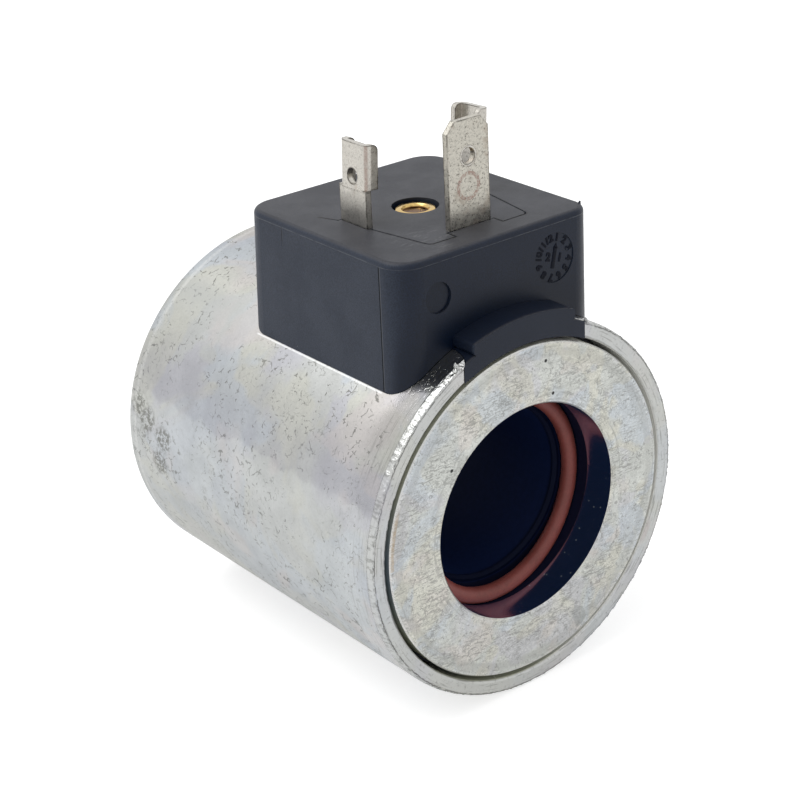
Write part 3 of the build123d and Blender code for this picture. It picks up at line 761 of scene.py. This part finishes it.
def mouldMaterial(name, look, withPartings):
    material, tree = startMaterial(name)
    at = placesOf(tree)
    facing = splitPoint(tree, addNode(tree, "ShaderNodeNewGeometry").outputs["Normal"])
    onTop = ramp(tree, facing[2], 0.55, 0.95)
    onFront = ramp(tree, facing[1], -0.35, -0.9)
    cloud = noiseAt(tree, at.point, 0.18, 4.0, 0.6)
    skin = noiseAt(tree, at.point, 6.0, 3.0, 0.7)
    # painted light on the top and painted shade on the front
    colour = mixColour(tree, onTop, look["colour"], look["paintedTopLightColour"])
    colour = mixColour(tree, onFront, colour, look["paintedFrontShadeColour"])
    # painted shade round the rib: on its top and end and the low front of the head
    nearRib = product(tree, fade(tree, at.radius, 26.2, 32.0), ramp(tree, at.depth, 0.25, 0.5))
    nearRib = product(tree, nearRib, fade(tree, at.depth, 4.8, 6.5))
    colour = tinted(tree, colour, look["shadeColour"], look["shadeStrength"], nearRib)
    # painted shade in the recessed cavity-mark disc
    disc = spot(tree, at.point, look["discPlace"], look["discRadius"] - 0.05, 0.1)
    colour = tinted(tree, colour, look["shadeColour"], look["discStrength"], disc)
    colour = clouded(tree, colour, cloud, 0.94, 1.06)
    colour = clouded(tree, colour, skin, 0.68, 1.32)
    seam = product(tree, carrierSeam(tree, at), onTop)
    colour = tinted(tree, colour, look["seamColour"], look["seamStrength"], seam)
    dust = specks(tree, at.point, 1.6, 0.10, 0.15)
    colour = tinted(tree, colour, look["dustColour"], look["dustStrength"], dust)
    normal = bumpFrom(tree, skin, 0.02)
    roughness = ramp(tree, onFront, 0, 1, look["roughness"], look["frontRoughness"])
    roughness = maths(tree, "ADD", roughness, ramp(tree, cloud, 0.35, 0.65, 0.03, -0.03))
    if withPartings:
        colour, normal, parting = partingLines(tree, at, colour, normal, onTop)
        roughness = maths(tree, "ADD", roughness, product(tree, parting, 0.4))

    # light scuffs at the front left of the top
    scuff = strokes(tree, at.point, 2.4, (0, 0, 0.5), (0.25, 1, 1), 0.58, 0.70)
    scuff = highest(tree, scuff, strokes(tree, at.point, 2.8, (0, 0, -0.9), (0.25, 1, 1), 0.60, 0.70))
    scuff = product(tree, scuff, spot(tree, at.point, look["scuffPlace"], 1.5, 4.5), onTop)
    colour = tinted(tree, colour, look["scuffColour"], look["scuffStrength"], scuff)
    finishShader(tree, Base_Color=colour, Roughness=roughness, Normal=normal,
                 Specular_IOR_Level=look["specular"])
    return material


def plainMaterial(name, look, metallic=0.0):
    # one colour with soft clouds and a fine grain
    material, tree = startMaterial(name)
    point = mmPoint(tree)
    grainShare = look.get("grainShare", 0.06)
    darkest, lightest = 1 - grainShare, 1 + grainShare
    grain = noiseAt(tree, point, look.get("grainScale", 1.5), 4.0, 0.7)
    colour = clouded(tree, look["colour"], noiseAt(tree, point, 0.3, 4.0, 0.6), darkest, lightest)
    colour = clouded(tree, colour, grain, darkest, lightest)
    roughness = maths(tree, "ADD", look["roughness"], ramp(tree, grain, 0.3, 0.7, -0.05, 0.05))
    normal = bumpFrom(tree, grain, look.get("bump", 0.01))
    finishShader(tree, Base_Color=colour, Metallic=metallic, Roughness=roughness, Normal=normal,
                 Specular_IOR_Level=look.get("specular", 0.5))
    return material


bobbinLook = {
    "colour": (0.0070, 0.0150, 0.058),
    "lipColour": (0.0018, 0.0040, 0.0170),
    "seatColour": (0.0085, 0.0100, 0.0280),
    "lipDepth": 7.9,
    "lipRadius": 12.2,
    "roughness": 0.50,
    "specular": 0.06,
}


def bobbinMaterial():
    # navy inside, darker round the lip of the bore, greyer in the seal seat
    material, tree = startMaterial("bobbinBlack")
    look = bobbinLook
    at = placesOf(tree)
    onLip = band(tree, at.depth, look["lipDepth"], 0.5, 0.5)
    onLip = product(tree, onLip, fade(tree, at.radius, look["lipRadius"], look["lipRadius"] + 0.1))
    inSeat = ramp(tree, at.radius, look["lipRadius"], look["lipRadius"] + 0.3)
    colour = mixColour(tree, inSeat, look["colour"], look["seatColour"])
    colour = mixColour(tree, onLip, colour, look["lipColour"])
    grain = noiseAt(tree, at.point, 1.5, 4.0, 0.7)
    colour = clouded(tree, colour, grain, 0.9, 1.1)
    normal = bumpFrom(tree, grain, 0.01)
    finishShader(tree, Base_Color=colour, Roughness=look["roughness"], Normal=normal,
                 Specular_IOR_Level=look["specular"])
    return material


blackMoulding = mouldMaterial("blackMoulding", mouldLook, True)
carrierBlack = mouldMaterial("carrierBlack", mouldLook, False)
bobbinBlack = bobbinMaterial()
useMaterial(blackMoulding, "moulded_body")
useMaterial(carrierBlack, "terminal_carrier")
useMaterial(bobbinBlack, "bobbin")
print("mouldings done")


# seals, copper, tape, solder and brass
rubberLook = {
    "colour": (0.24, 0.062, 0.050),
    "roughness": 0.42,
    "specular": 0.4,
    "bump": 0.02,
    "grainScale": 2.5,
    "grainShare": 0.10,
}
copperLook = {"colour": (0.62, 0.24, 0.10), "roughness": 0.3}
tapeLook = {"colour": (0.60, 0.45, 0.14), "roughness": 0.35}
solderLook = {"colour": (0.50, 0.51, 0.52), "roughness": 0.3}
brassLook = {
    "colour": (0.70, 0.49, 0.19),
    "innerShadeColour": (0.15, 0.068, 0.020),
    "innerRadius": 1.62,
    "threadShadeColour": (0.02, 0.01, 0.005),
    "threadShadeStrength": 0.85,
    "threadShadeDepth": 0.3,
    "roughness": 0.2,
}
sealRubber = plainMaterial("sealRubber", rubberLook)
copperWire = plainMaterial("copperWire", copperLook, 1.0)
tapeFilm = plainMaterial("tapeFilm", tapeLook)
softSolder = plainMaterial("softSolder", solderLook, 1.0)


def brassMaterial():
    # bright on top, with painted shade down in the thread: brown inside the hole and darker deeper down
    material, tree = startMaterial("insertBrass")
    look = brassLook
    at = placesOf(tree)
    aside = joinPoint(tree, at.x, maths(tree, "SUBTRACT", at.y, connectorY / mm))
    inside = vectorMaths(tree, "LENGTH", aside)
    inside = fade(tree, inside, look["innerRadius"] - 0.08, look["innerRadius"])
    down = maths(tree, "SUBTRACT", insertHigh.z / mm, at.z)
    down = ramp(tree, down, look["threadShadeDepth"], look["threadShadeDepth"] + 2.5)
    # painted shade inside the threaded hole, deepening downwards
    colour = mixColour(tree, inside, look["colour"], look["innerShadeColour"])
    colour = tinted(tree, colour, look["threadShadeColour"], look["threadShadeStrength"], inside, down)
    grain = noiseAt(tree, at.point, 2.5, 4.0, 0.7)
    colour = clouded(tree, colour, grain, 0.88, 1.06)
    normal = bumpFrom(tree, grain, 0.01)
    finishShader(tree, Base_Color=colour, Metallic=1.0, Roughness=look["roughness"], Normal=normal)
    return material


insertBrass = brassMaterial()
useMaterial(sealRubber, "rear_seal_ring")
useMaterial(copperWire, "copper_winding", "winding_leads")
useMaterial(tapeFilm, "winding_tape")
useMaterial(softSolder, "solder_joints")


# tinned pins, dull with stains and pits
pinLook = {
    "colour": (0.60, 0.575, 0.525),
    "stainColour": (0.36, 0.29, 0.23),
    "stainShare": 0.02,
    "markColour": (0.10, 0.09, 0.075),
    "fleckStrength": 0.45,
    "roughness": 0.30,
    "lowRoughness": 0.33,
    "foldColour": (0.26, 0.16, 0.13),
    "foldStrength": 0.6,
    "creaseHeight": 4.4,
    "creaseStrength": 0.6,
    "wornReach": 0.20,
    "rings": (),
}

# each ring: place (x, y, height over the head), radius, half width, colour and strength
bladeLook = dict(pinLook)
bladeLook.update({
    "colour": (0.59, 0.565, 0.50),
    "stainShare": 0.10,
    "fleckStrength": 0.85,
    "roughness": 0.36,
    "lowRoughness": 0.29,
    "creaseHeight": 3.2,
    "creaseStrength": 0.0,
    "rings": (
        ((0.0, -17.6, 8.6), 1.13, 0.04, (0.85, 0.83, 0.79), 0.75),
        ((0.0, -17.6, 8.6), 1.27, 0.02, (0.12, 0.10, 0.09), 0.60),
        ((-0.1, -17.6, 4.95), 1.55, 0.20, (0.30, 0.19, 0.16), 0.75),
    ),
})


def ringMarks(tree, point, colour, look, normalY, grain):
    # rubbed rings round the hole and below it, on the front of the blade
    onFront = ramp(tree, normalY, -0.3, -0.8)
    for (x, y, height), radius, halfWidth, ringColour, strength in look["rings"]:
        distance = vectorMaths(tree, "DISTANCE", point, (x, y, height + headTopZ / mm))
        ring = product(tree, band(tree, distance, radius, halfWidth, 0.08), onFront)
        ring = product(tree, ring, ramp(tree, grain, 0.42, 0.56, 0.15, 1.0))
        colour = tinted(tree, colour, ringColour, strength, ring)
    return colour


def tinMaterial(name, look):
    material, tree = startMaterial(name)
    at = placesOf(tree)
    cloud = noiseAt(tree, at.point, 0.5, 5.0, 0.65)
    grain = noiseAt(tree, at.point, 3.0, 4.0, 0.7)
    stain = noiseAt(tree, at.point, 0.45, 5.0, 0.7, 0.5)
    stain = ramp(tree, stain, 0.62 - look["stainShare"], 0.78 - look["stainShare"])
    colour = tinted(tree, look["colour"], look["stainColour"], 0.5, stain)
    colour = clouded(tree, colour, grain, 0.90, 1.06)
    dots = specks(tree, at.point, 0.55, 0.10, 0.30)
    flecks = ramp(tree, noiseAt(tree, warped(tree, at.point, 1.5, 0.2), 3.6, 5.0, 0.85), 0.535, 0.61)
    colour = tinted(tree, colour, look["markColour"], look["fleckStrength"], highest(tree, dots, flecks))

    # the brown inside of the fold, the crease, and the marks that plugs have left
    height = maths(tree, "SUBTRACT", at.z, headTopZ / mm)
    facing = splitPoint(tree, addNode(tree, "ShaderNodeNewGeometry").outputs["Normal"])
    fold = ramp(tree, maths(tree, "ABSOLUTE", facing[0]), 0.35, 0.6)
    fold = product(tree, fold, ramp(tree, facing[1], -0.45, -0.65))
    fold = product(tree, fold, ramp(tree, grain, 0.35, 0.55, 0.4, 1.0))
    colour = tinted(tree, colour, look["foldColour"], look["foldStrength"], fold)
    crease = band(tree, height, look["creaseHeight"], 0.05, 0.10)
    crease = product(tree, crease, ramp(tree, grain, 0.4, 0.6))
    colour = tinted(tree, colour, look["markColour"], look["creaseStrength"], crease)
    colour = ringMarks(tree, at.point, colour, look, facing[1], grain)
    worn = product(tree, edgeWear(tree, look["wornReach"]), ramp(tree, cloud, 0.38, 0.58, 0.2, 0.9))
    colour = mixColour(tree, worn, colour, look["markColour"])

    low, high = look["creaseHeight"] - 1.5, look["creaseHeight"] + 0.3
    roughness = ramp(tree, height, low, high, look["lowRoughness"], look["roughness"])
    roughness = maths(tree, "ADD", roughness, ramp(tree, cloud, 0.35, 0.65, 0.05, -0.05))
    normal = bumpFrom(tree, cloud, 0.02)
    normal = bumpFrom(tree, grain, 0.006, normal)
    finishShader(tree, Base_Color=colour, Metallic=1.0, Roughness=roughness, Normal=normal)
    return material


pinTin = tinMaterial("pinTin", pinLook)
bladeTin = tinMaterial("bladeTin", bladeLook)
useMaterial(pinTin, "power_terminal_left", "power_terminal_right")
useMaterial(bladeTin, "ground_terminal")
print("metals and rubber done")


# new pieces: each is one mesh with its place in it, and rides on the coil
def addPiece(name, bm, material, sharpAngle=35):
    bmesh.ops.remove_doubles(bm, verts=bm.verts, dist=0.0005 * mm)
    bmesh.ops.recalc_face_normals(bm, faces=bm.faces)
    mesh = bpy.data.meshes.new(name)
    bm.to_mesh(mesh)
    bm.free()
    mesh.materials.append(material)
    for face in mesh.polygons:
        face.use_smooth = True
    mesh.set_sharp_from_angle(angle=math.radians(sharpAngle))
    piece = bpy.data.objects.new(name, mesh)
    scene.collection.objects.link(piece)
    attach(piece, "root")
    return piece


def addProfile(bm, points):
    # open line of edges through (x, y, z) points
    line = [bm.verts.new(point) for point in points]
    for first, second in zip(line, line[1:]):
        bm.edges.new((first, second))
    return line


def addedSince(bm, known):
    # vertices that aren't among the known ones, with their edges and faces, always in the same order
    verts = [vert for vert in bm.verts if vert not in known]
    edges = [edge for edge in bm.edges if edge.verts[0] not in known]
    faces = [face for face in bm.faces if face.verts[0] not in known]
    return verts, edges, faces


# front seal: lies askew in its seat, deeper at the right
sealLook = {
    "ringRadius": 13.13 * mm,
    "section": 2.12 * mm,
    "depth": 6.0 * mm,
    "lean": (0.95 * mm, 0.17 * mm),
    "steps": 160,
}


def buildFrontSeal():
    look = sealLook
    bm = bmesh.new()
    bmesh.ops.create_circle(bm, segments=40, radius=look["section"] / 2)
    bmesh.ops.translate(bm, vec=(look["ringRadius"], 0, 0), verts=bm.verts)
    bmesh.ops.spin(bm, geom=bm.verts[:] + bm.edges[:], cent=(0, 0, 0), axis=(0, 1, 0), angle=2 * math.pi,
                   steps=look["steps"], use_merge=True)
    leanX, leanZ = (lean / look["ringRadius"] for lean in look["lean"])
    askew = Matrix(((1, 0, 0, 0), (leanX, 1, leanZ, frontY + look["depth"]), (0, 0, 1, 0), (0, 0, 0, 1)))
    bmesh.ops.transform(bm, matrix=askew, verts=bm.verts)
    seal = addPiece("frontSeal", bm, sealRubber, 180)
    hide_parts("front_seal_ring")


buildFrontSeal()
print("front seal done")


# threaded insert: a turned bush with a helical M3 thread
insertShape = {
    "coreRadius": 1.25 * mm,
    "threadRadius": 1.50 * mm,
    "pitch": 0.5 * mm,
    "leadInDepth": 0.40 * mm,
    "leadInRadius": 1.52 * mm,
    "mouthRadius": 1.72 * mm,
    "topRound": 0.22 * mm,
    "chamfer": 0.35 * mm,
    "grooveWidth": 1.0 * mm,
    "grooveDepth": 0.35 * mm,
    "steps": 72,
}


def buildInsert():
    shape = insertShape
    outer = (insertHigh.x - insertLow.x) / 2
    top, bottom = insertHigh.z, insertLow.z
    middle, half = (top + bottom) / 2, shape["grooveWidth"] / 2
    threadTop = top - shape["leadInDepth"]
    leadIn, mouth, topRound = shape["leadInRadius"], shape["mouthRadius"], shape["topRound"]
    groove, chamfer = outer - shape["grooveDepth"], shape["chamfer"]

    # half section of the bush, from its lead-in over the top and down the outside
    bm = bmesh.new()
    profile = [(leadIn, threadTop), (mouth, top - 0.35 * topRound), (mouth + 0.35 * topRound, top)]
    profile += [(outer - topRound, top), (outer - 0.3 * topRound, top - 0.3 * topRound)]
    profile += [(outer, top - topRound), (outer, middle + half), (groove, middle + half)]
    profile += [(groove, middle - half), (outer, middle - half), (outer, bottom + chamfer)]
    profile += [(outer - chamfer, bottom), (leadIn, bottom)]
    addProfile(bm, [(radius, 0, z) for radius, z in profile])
    bmesh.ops.spin(bm, geom=bm.verts[:] + bm.edges[:], cent=(0, 0, 0), axis=(0, 0, 1), angle=2 * math.pi,
                   steps=shape["steps"], use_merge=True)

    # the thread's flank line, swept once round while it climbs one pitch
    core, crest, pitch = shape["coreRadius"], shape["threadRadius"], shape["pitch"]
    tooth = ((core, 0), (core, 0.2), (crest, 0.49), (crest, 0.61), (core, 0.90))
    turns = int((threadTop - bottom) / pitch) + 3
    flanks = []
    for turn in range(turns):
        start = bottom + (turn - 1.5) * pitch
        flanks += [(radius, 0, start + share * pitch) for radius, share in tooth]
    known = set(bm.verts)
    addProfile(bm, flanks)
    verts, edges, _ = addedSince(bm, known)
    bmesh.ops.spin(bm, geom=verts + edges, cent=(0, 0, 0), axis=(0, 0, 1), dvec=(0, 0, pitch),
                   angle=2 * math.pi, steps=shape["steps"])
    verts, _, _ = addedSince(bm, known)
    bmesh.ops.remove_doubles(bm, verts=verts, dist=0.0005 * mm)
    for height, side in ((threadTop, 1), (bottom, -1)):
        verts, edges, faces = addedSince(bm, known)
        bmesh.ops.bisect_plane(bm, geom=verts + edges + faces, dist=0.0002 * mm,
                               plane_co=(0, 0, height), plane_no=(0, 0, side), clear_outer=True)
    for height in (threadTop, bottom):
        rim = [edge for edge in bm.edges if len(edge.link_faces) == 1
               and all(abs(vert.co.z - height) < 0.001 * mm for vert in edge.verts)]
        bmesh.ops.bridge_loops(bm, edges=rim)
    bmesh.ops.translate(bm, vec=(0, connectorY, 0), verts=bm.verts)
    insert = addPiece("threadedInsert", bm, insertBrass, 30)
    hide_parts("threaded_insert")


buildInsert()
print("insert done")


# date dial: plain numbers round an arrow, in the shallow disc on the front of the head; they are a darker
# black than the moulding, as painted shade
dialShape = {
    "place": (8.47 * mm, 4.98 * mm),
    "headHalfLength": 15.5 * mm,
    "draft": math.radians(2.7),
    "recess": 0.12 * mm,
    "numberSize": 1.30 * mm,
    "numberRadius": 2.45 * mm,
    "yearSize": 1.45 * mm,
    "strokeGrowth": 0.065 * mm,
    "yearOffset": 0.95 * mm,
    "firstAngle": 15,
    "height": 0.06 * mm,
    "arrowLength": 2.7 * mm,
    "arrowWidth": 0.55 * mm,
    "arrowHead": 1.05 * mm,
    "arrowRound": 0.03 * mm,
}
dialLook = {"colour": (0.0015, 0.003, 0.009), "roughness": 0.5, "specular": 0.12}
dialShadeBlack = plainMaterial("dialShadeBlack", dialLook)


def addText(bm, words, size, height, matrix):
    # words become a solid mesh, which goes into bm at the matrix
    curve = bpy.data.curves.new("words", "FONT")
    curve.body = words
    curve.size = size
    curve.extrude = height
    curve.offset = dialShape["strokeGrowth"]
    curve.align_x = "CENTER"
    curve.align_y = "CENTER"
    holder = bpy.data.objects.new("words", curve)
    mesh = bpy.data.meshes.new_from_object(holder)
    mesh.transform(matrix)
    bm.from_mesh(mesh)
    bpy.data.objects.remove(holder)
    bpy.data.meshes.remove(mesh)


def buildDial():
    shape = dialShape
    x, drop = shape["place"]
    faceY = connectorY - shape["headHalfLength"] - drop * math.tan(shape["draft"])
    onFace = Matrix.Translation((x, faceY, headTopZ - drop))
    onFace = onFace @ Matrix.Rotation(math.pi / 2 - shape["draft"], 4, "X")
    onFloor = onFace @ Matrix.Translation((0, 0, -shape["recess"]))
    bm = bmesh.new()
    for number in range(1, 13):
        turn = Matrix.Rotation(-math.radians(30 * number - shape["firstAngle"]), 4, "Z")
        place = onFloor @ turn @ Matrix.Translation((0, shape["numberRadius"], 0))
        addText(bm, str(number), shape["numberSize"], shape["height"], place)
    tilt = Matrix.Rotation(-math.radians(shape["firstAngle"]), 4, "Z")
    for side, digit in ((-1, "2"), (1, "1")):
        place = onFloor @ tilt @ Matrix.Translation((side * shape["yearOffset"], 0, 0))
        addText(bm, digit, shape["yearSize"], shape["height"], place)

    # the arrow: a rounded bar with a three sided head
    known = set(bm.verts)
    barSize = Matrix.Diagonal((shape["arrowWidth"], shape["arrowLength"], 2 * shape["height"], 1))
    bmesh.ops.create_cube(bm, size=1, matrix=barSize)
    _, edges, _ = addedSince(bm, known)
    bmesh.ops.bevel(bm, geom=edges, offset=shape["arrowRound"], segments=2, affect="EDGES",
                    profile=0.5, material=-1)
    shaft, _, _ = addedSince(bm, known)
    head = bmesh.ops.create_cone(bm, segments=3, radius1=0.50 * shape["arrowHead"],
                                 radius2=0.40 * shape["arrowHead"], depth=2 * shape["height"],
                                 cap_ends=True)["verts"]
    bmesh.ops.translate(bm, verts=head, vec=(0, shape["arrowLength"] / 2, 0))
    bmesh.ops.transform(bm, matrix=onFloor @ tilt, verts=shaft + head)
    addPiece("dateDial", bm, dialShadeBlack, 30)


buildDial()
print("date dial done")


# swaged rim: the torn skin of the taper round the can's mouth, as low relief with a ragged front edge
rimShape = {
    "frontRadius": 24.23 * mm,
    "rearRadius": 24.475 * mm,
    "setBack": 0.02 * mm,
    "length": 1.0 * mm,
    "sunk": 0.12 * mm,
    "height": 0.11 * mm,
    "ragged": 0.22 * mm,
    "clearance": 0.004 * mm,
    "slotHalfWidth": 9.95 * mm,
    "rows": 8,
    "steps": 1500,
    "tornAngle": math.radians(9),
}


def limited(value):
    return min(max(value, 0), 1)


def taperRadius(share):
    # of the taper's plain skin, share of its length behind the front
    return rimShape["frontRadius"] + share * (rimShape["rearRadius"] - rimShape["frontRadius"])


def tornHeight(angle, depth, share):
    # height of the torn skin over the plain one; highest beside the left corner of the slot
    along = angle * canRadius / mm
    slotEdge = math.pi - math.acos(rimShape["slotHalfWidth"] / rimShape["frontRadius"])
    torn = 1 - min(abs(angle - slotEdge) / rimShape["tornAngle"], 1)
    lump = 0.65 * noise.fractal(Vector((0.7 * along, 2.6 * depth / mm, 3.1)), 0.6, 2.0, 4)
    lump += 0.35 * noise.fractal(Vector((3.0 * along, 1.2 * depth / mm, 8.4)), 0.6, 2.0, 3)
    lump = limited(0.5 + 0.8 * lump)
    reach = 4 * share * (1 - share) if share > 0.5 else 1
    return rimShape["height"] * reach * (lump + 0.6 * torn * lump)


def buildSwagedRim():
    shape = rimShape
    rows = shape["rows"]
    outer = [(taperRadius(row / rows), row / rows * shape["length"]) for row in range(rows + 1)]
    inner = [(radius - shape["sunk"], depth) for radius, depth in (outer[-1], outer[0])]
    start = math.acos(shape["slotHalfWidth"] / shape["frontRadius"])
    sweep = math.pi + 2 * start
    bm = bmesh.new()
    profile = [(radius * math.cos(start), frontY + shape["setBack"] + depth, radius * math.sin(start))
               for radius, depth in outer + inner]
    line = addProfile(bm, profile)
    bm.edges.new((line[-1], line[0]))
    bmesh.ops.spin(bm, geom=bm.verts[:] + bm.edges[:], cent=(0, 0, 0), axis=(0, 1, 0), angle=sweep,
                   steps=shape["steps"])
    openEdges = [edge for edge in bm.edges if len(edge.link_faces) == 1]
    bmesh.ops.holes_fill(bm, edges=openEdges, sides=0)

    for vert in bm.verts:
        radius = math.hypot(vert.co.x, vert.co.z)
        depth = vert.co.y - frontY
        share = limited((depth - shape["setBack"]) / shape["length"])
        if radius < taperRadius(share) - shape["sunk"] / 2:
            continue
        angle = math.atan2(vert.co.z, vert.co.x)
        radius = min(radius + tornHeight(angle, depth, share), canRadius - shape["clearance"])
        if share < 0.01:
            wave = noise.fractal(Vector((2.4 * angle * canRadius / mm, 7.7, 0)), 0.6, 2.0, 3)
            vert.co.y += shape["ragged"] * limited(0.5 + wave)
        vert.co.x, vert.co.z = radius * math.cos(angle), radius * math.sin(angle)
    addPiece("swagedRim", bm, canZinc, 40)


buildSwagedRim()
print("swaged rim done")


# torn burrs at the two front corners of the slot, each a few squeezed lumps
burrShape = {
    # x, y, z, then half its size across, in depth and in height, and its lean in degrees
    "lumps": (
        (-10.20, -26.60, 22.45, 0.20, 0.27, 0.40, -20),
        (-10.34, -26.32, 22.60, 0.15, 0.26, 0.34, 15),
        (-10.62, -26.58, 22.12, 0.17, 0.25, 0.30, 40),
        (10.15, -26.55, 22.35, 0.18, 0.26, 0.34, -15),
    ),
    "roughness": 0.30,
}


def buildBurrs():
    bm = bmesh.new()
    for index, (x, y, z, across, deep, tall, lean) in enumerate(burrShape["lumps"]):
        lump = bmesh.ops.create_icosphere(bm, subdivisions=4, radius=1.0)["verts"]
        for vert in lump:
            push = noise.fractal(vert.co * 1.7 + Vector((4.3 * index, 0, 0)), 0.6, 2.0, 3)
            vert.co *= 1 + burrShape["roughness"] * push
        place = Matrix.Translation((x * mm, y * mm, z * mm)) @ Matrix.Rotation(math.radians(lean), 4, "Y")
        place = place @ Matrix.Diagonal((across * mm, deep * mm, tall * mm, 1))
        bmesh.ops.transform(bm, matrix=place, verts=lump)
    addPiece("slotBurrs", bm, canZinc, 40)


buildBurrs()
print("burrs done")


# flash: a small nib of moulding at the right front corner of the head's top
nibShape = {
    "place": (14.55 * mm, -20.9 * mm, 34.75 * mm),
    "radius": 0.30 * mm,
    "length": 0.60 * mm,
    "round": 0.04 * mm,
    "lean": math.radians(25),
    "squeeze": (1.4, 0.6, 1, 1),
}


def buildNib():
    shape = nibShape
    bm = bmesh.new()
    bmesh.ops.create_cone(bm, segments=10, radius1=shape["radius"], radius2=0.25 * shape["radius"],
                          depth=shape["length"], cap_ends=True)
    bmesh.ops.bevel(bm, geom=bm.edges[:], offset=shape["round"], segments=2, affect="EDGES",
                    profile=0.5, material=-1)
    place = Matrix.Translation(shape["place"]) @ Matrix.Rotation(shape["lean"], 4, "Y")
    bmesh.ops.transform(bm, matrix=place @ Matrix.Diagonal(shape["squeeze"]), verts=bm.verts)
    addPiece("flashNib", bm, blackMoulding, 40)


buildNib()
print("flash nib done")


# floor, sky and light
stageLook = {
    "floorColour": (0.62, 0.62, 0.62),
    "floorGlow": 0.62,
    "floorGloss": 0.40,
    "skyStrength": 0.78,
    "floorSize": 6.0,
}
keyLight = {"place": (-0.25, 0.15, 0.55), "target": (0, 0, 0), "size": (0.5, 0.4), "power": 1.8}


def buildStage():
    mesh = bpy.data.meshes.new("floor")
    bm = bmesh.new()
    bmesh.ops.create_grid(bm, x_segments=1, y_segments=1, size=stageLook["floorSize"] / 2)
    bmesh.ops.translate(bm, vec=(0, 0, floorZ), verts=bm.verts)
    bm.to_mesh(mesh)
    bm.free()
    floor = bpy.data.objects.new("floor", mesh)
    scene.collection.objects.link(floor)
    material, tree = startMaterial("paleFloor")
    tree.nodes.remove(tree.nodes["Principled BSDF"])
    diffuse = addNode(tree, "ShaderNodeBsdfDiffuse")
    diffuse.inputs["Color"].default_value = (*stageLook["floorColour"], 1)
    glow = addNode(tree, "ShaderNodeEmission")
    path = addNode(tree, "ShaderNodeLightPath")
    seen = highest(tree, path.outputs["Is Camera Ray"], path.outputs["Is Transmission Ray"])
    seen = product(tree, seen, stageLook["floorGlow"])
    gloss = product(tree, path.outputs["Is Glossy Ray"], stageLook["floorGloss"])
    setSocket(tree, glow.inputs["Strength"], highest(tree, seen, gloss))
    both = addNode(tree, "ShaderNodeAddShader")
    tree.links.new(diffuse.outputs[0], both.inputs[0])
    tree.links.new(glow.outputs[0], both.inputs[1])
    tree.links.new(both.outputs[0], tree.nodes["Material Output"].inputs["Surface"])
    mesh.materials.append(material)

    world = bpy.data.worlds.new("studio")
    world.use_nodes = True
    scene.world = world
    tree = world.node_tree
    path = addNode(tree, "ShaderNodeLightPath")
    rays = [path.outputs[name] for name in ("Is Camera Ray", "Is Glossy Ray", "Is Transmission Ray")]
    seen = highest(tree, *rays)
    sky = tree.nodes["Background"]
    sky.inputs["Color"].default_value = (1, 1, 1, 1)
    setSocket(tree, sky.inputs["Strength"], ramp(tree, seen, 0, 1, stageLook["skyStrength"], 1.0))


def addLamp(name, place, target, size, power):
    lamp = bpy.data.lights.new(name, "AREA")
    lamp.shape = "RECTANGLE"
    lamp.size, lamp.size_y = size
    lamp.energy = power
    holder = bpy.data.objects.new(name, lamp)
    scene.collection.objects.link(holder)
    aim = (Vector(target) - Vector(place)).to_track_quat("-Z", "Y")
    holder.matrix_world = Matrix.Translation(place) @ aim.to_matrix().to_4x4()


buildStage()
addLamp("keyLight", **keyLight)
scene.view_settings.view_transform = "Standard"
print("stage and light done")


# the camera stands where the photograph was taken from
cameraView = {
    "place": (-0.141153, -0.185924, 0.114072),
    "azimuth": -37.526,
    "elevation": 24.823,
    "roll": -2.941,
    "lens": 88.296,
    "sensor": 36.0,
}


def placeCamera():
    lens = bpy.data.cameras.new("camera")
    lens.sensor_width = cameraView["sensor"]
    lens.lens = cameraView["lens"]
    lens.clip_start = 0.01
    camera = bpy.data.objects.new("camera", lens)
    scene.collection.objects.link(camera)
    turn, rise, roll = (math.radians(cameraView[key]) for key in ("azimuth", "elevation", "roll"))
    back = Vector((math.sin(turn) * math.cos(rise), -math.cos(turn) * math.cos(rise), math.sin(rise)))
    right = Vector((math.cos(turn), math.sin(turn), 0))
    up = back.cross(right)
    rolledRight = right * math.cos(roll) + up * math.sin(roll)
    rolledUp = up * math.cos(roll) - right * math.sin(roll)
    axes = Matrix((rolledRight, rolledUp, back)).transposed().to_4x4()
    camera.matrix_world = Matrix.Translation(cameraView["place"]) @ axes
    scene.camera = camera


placeCamera()
print("camera done")
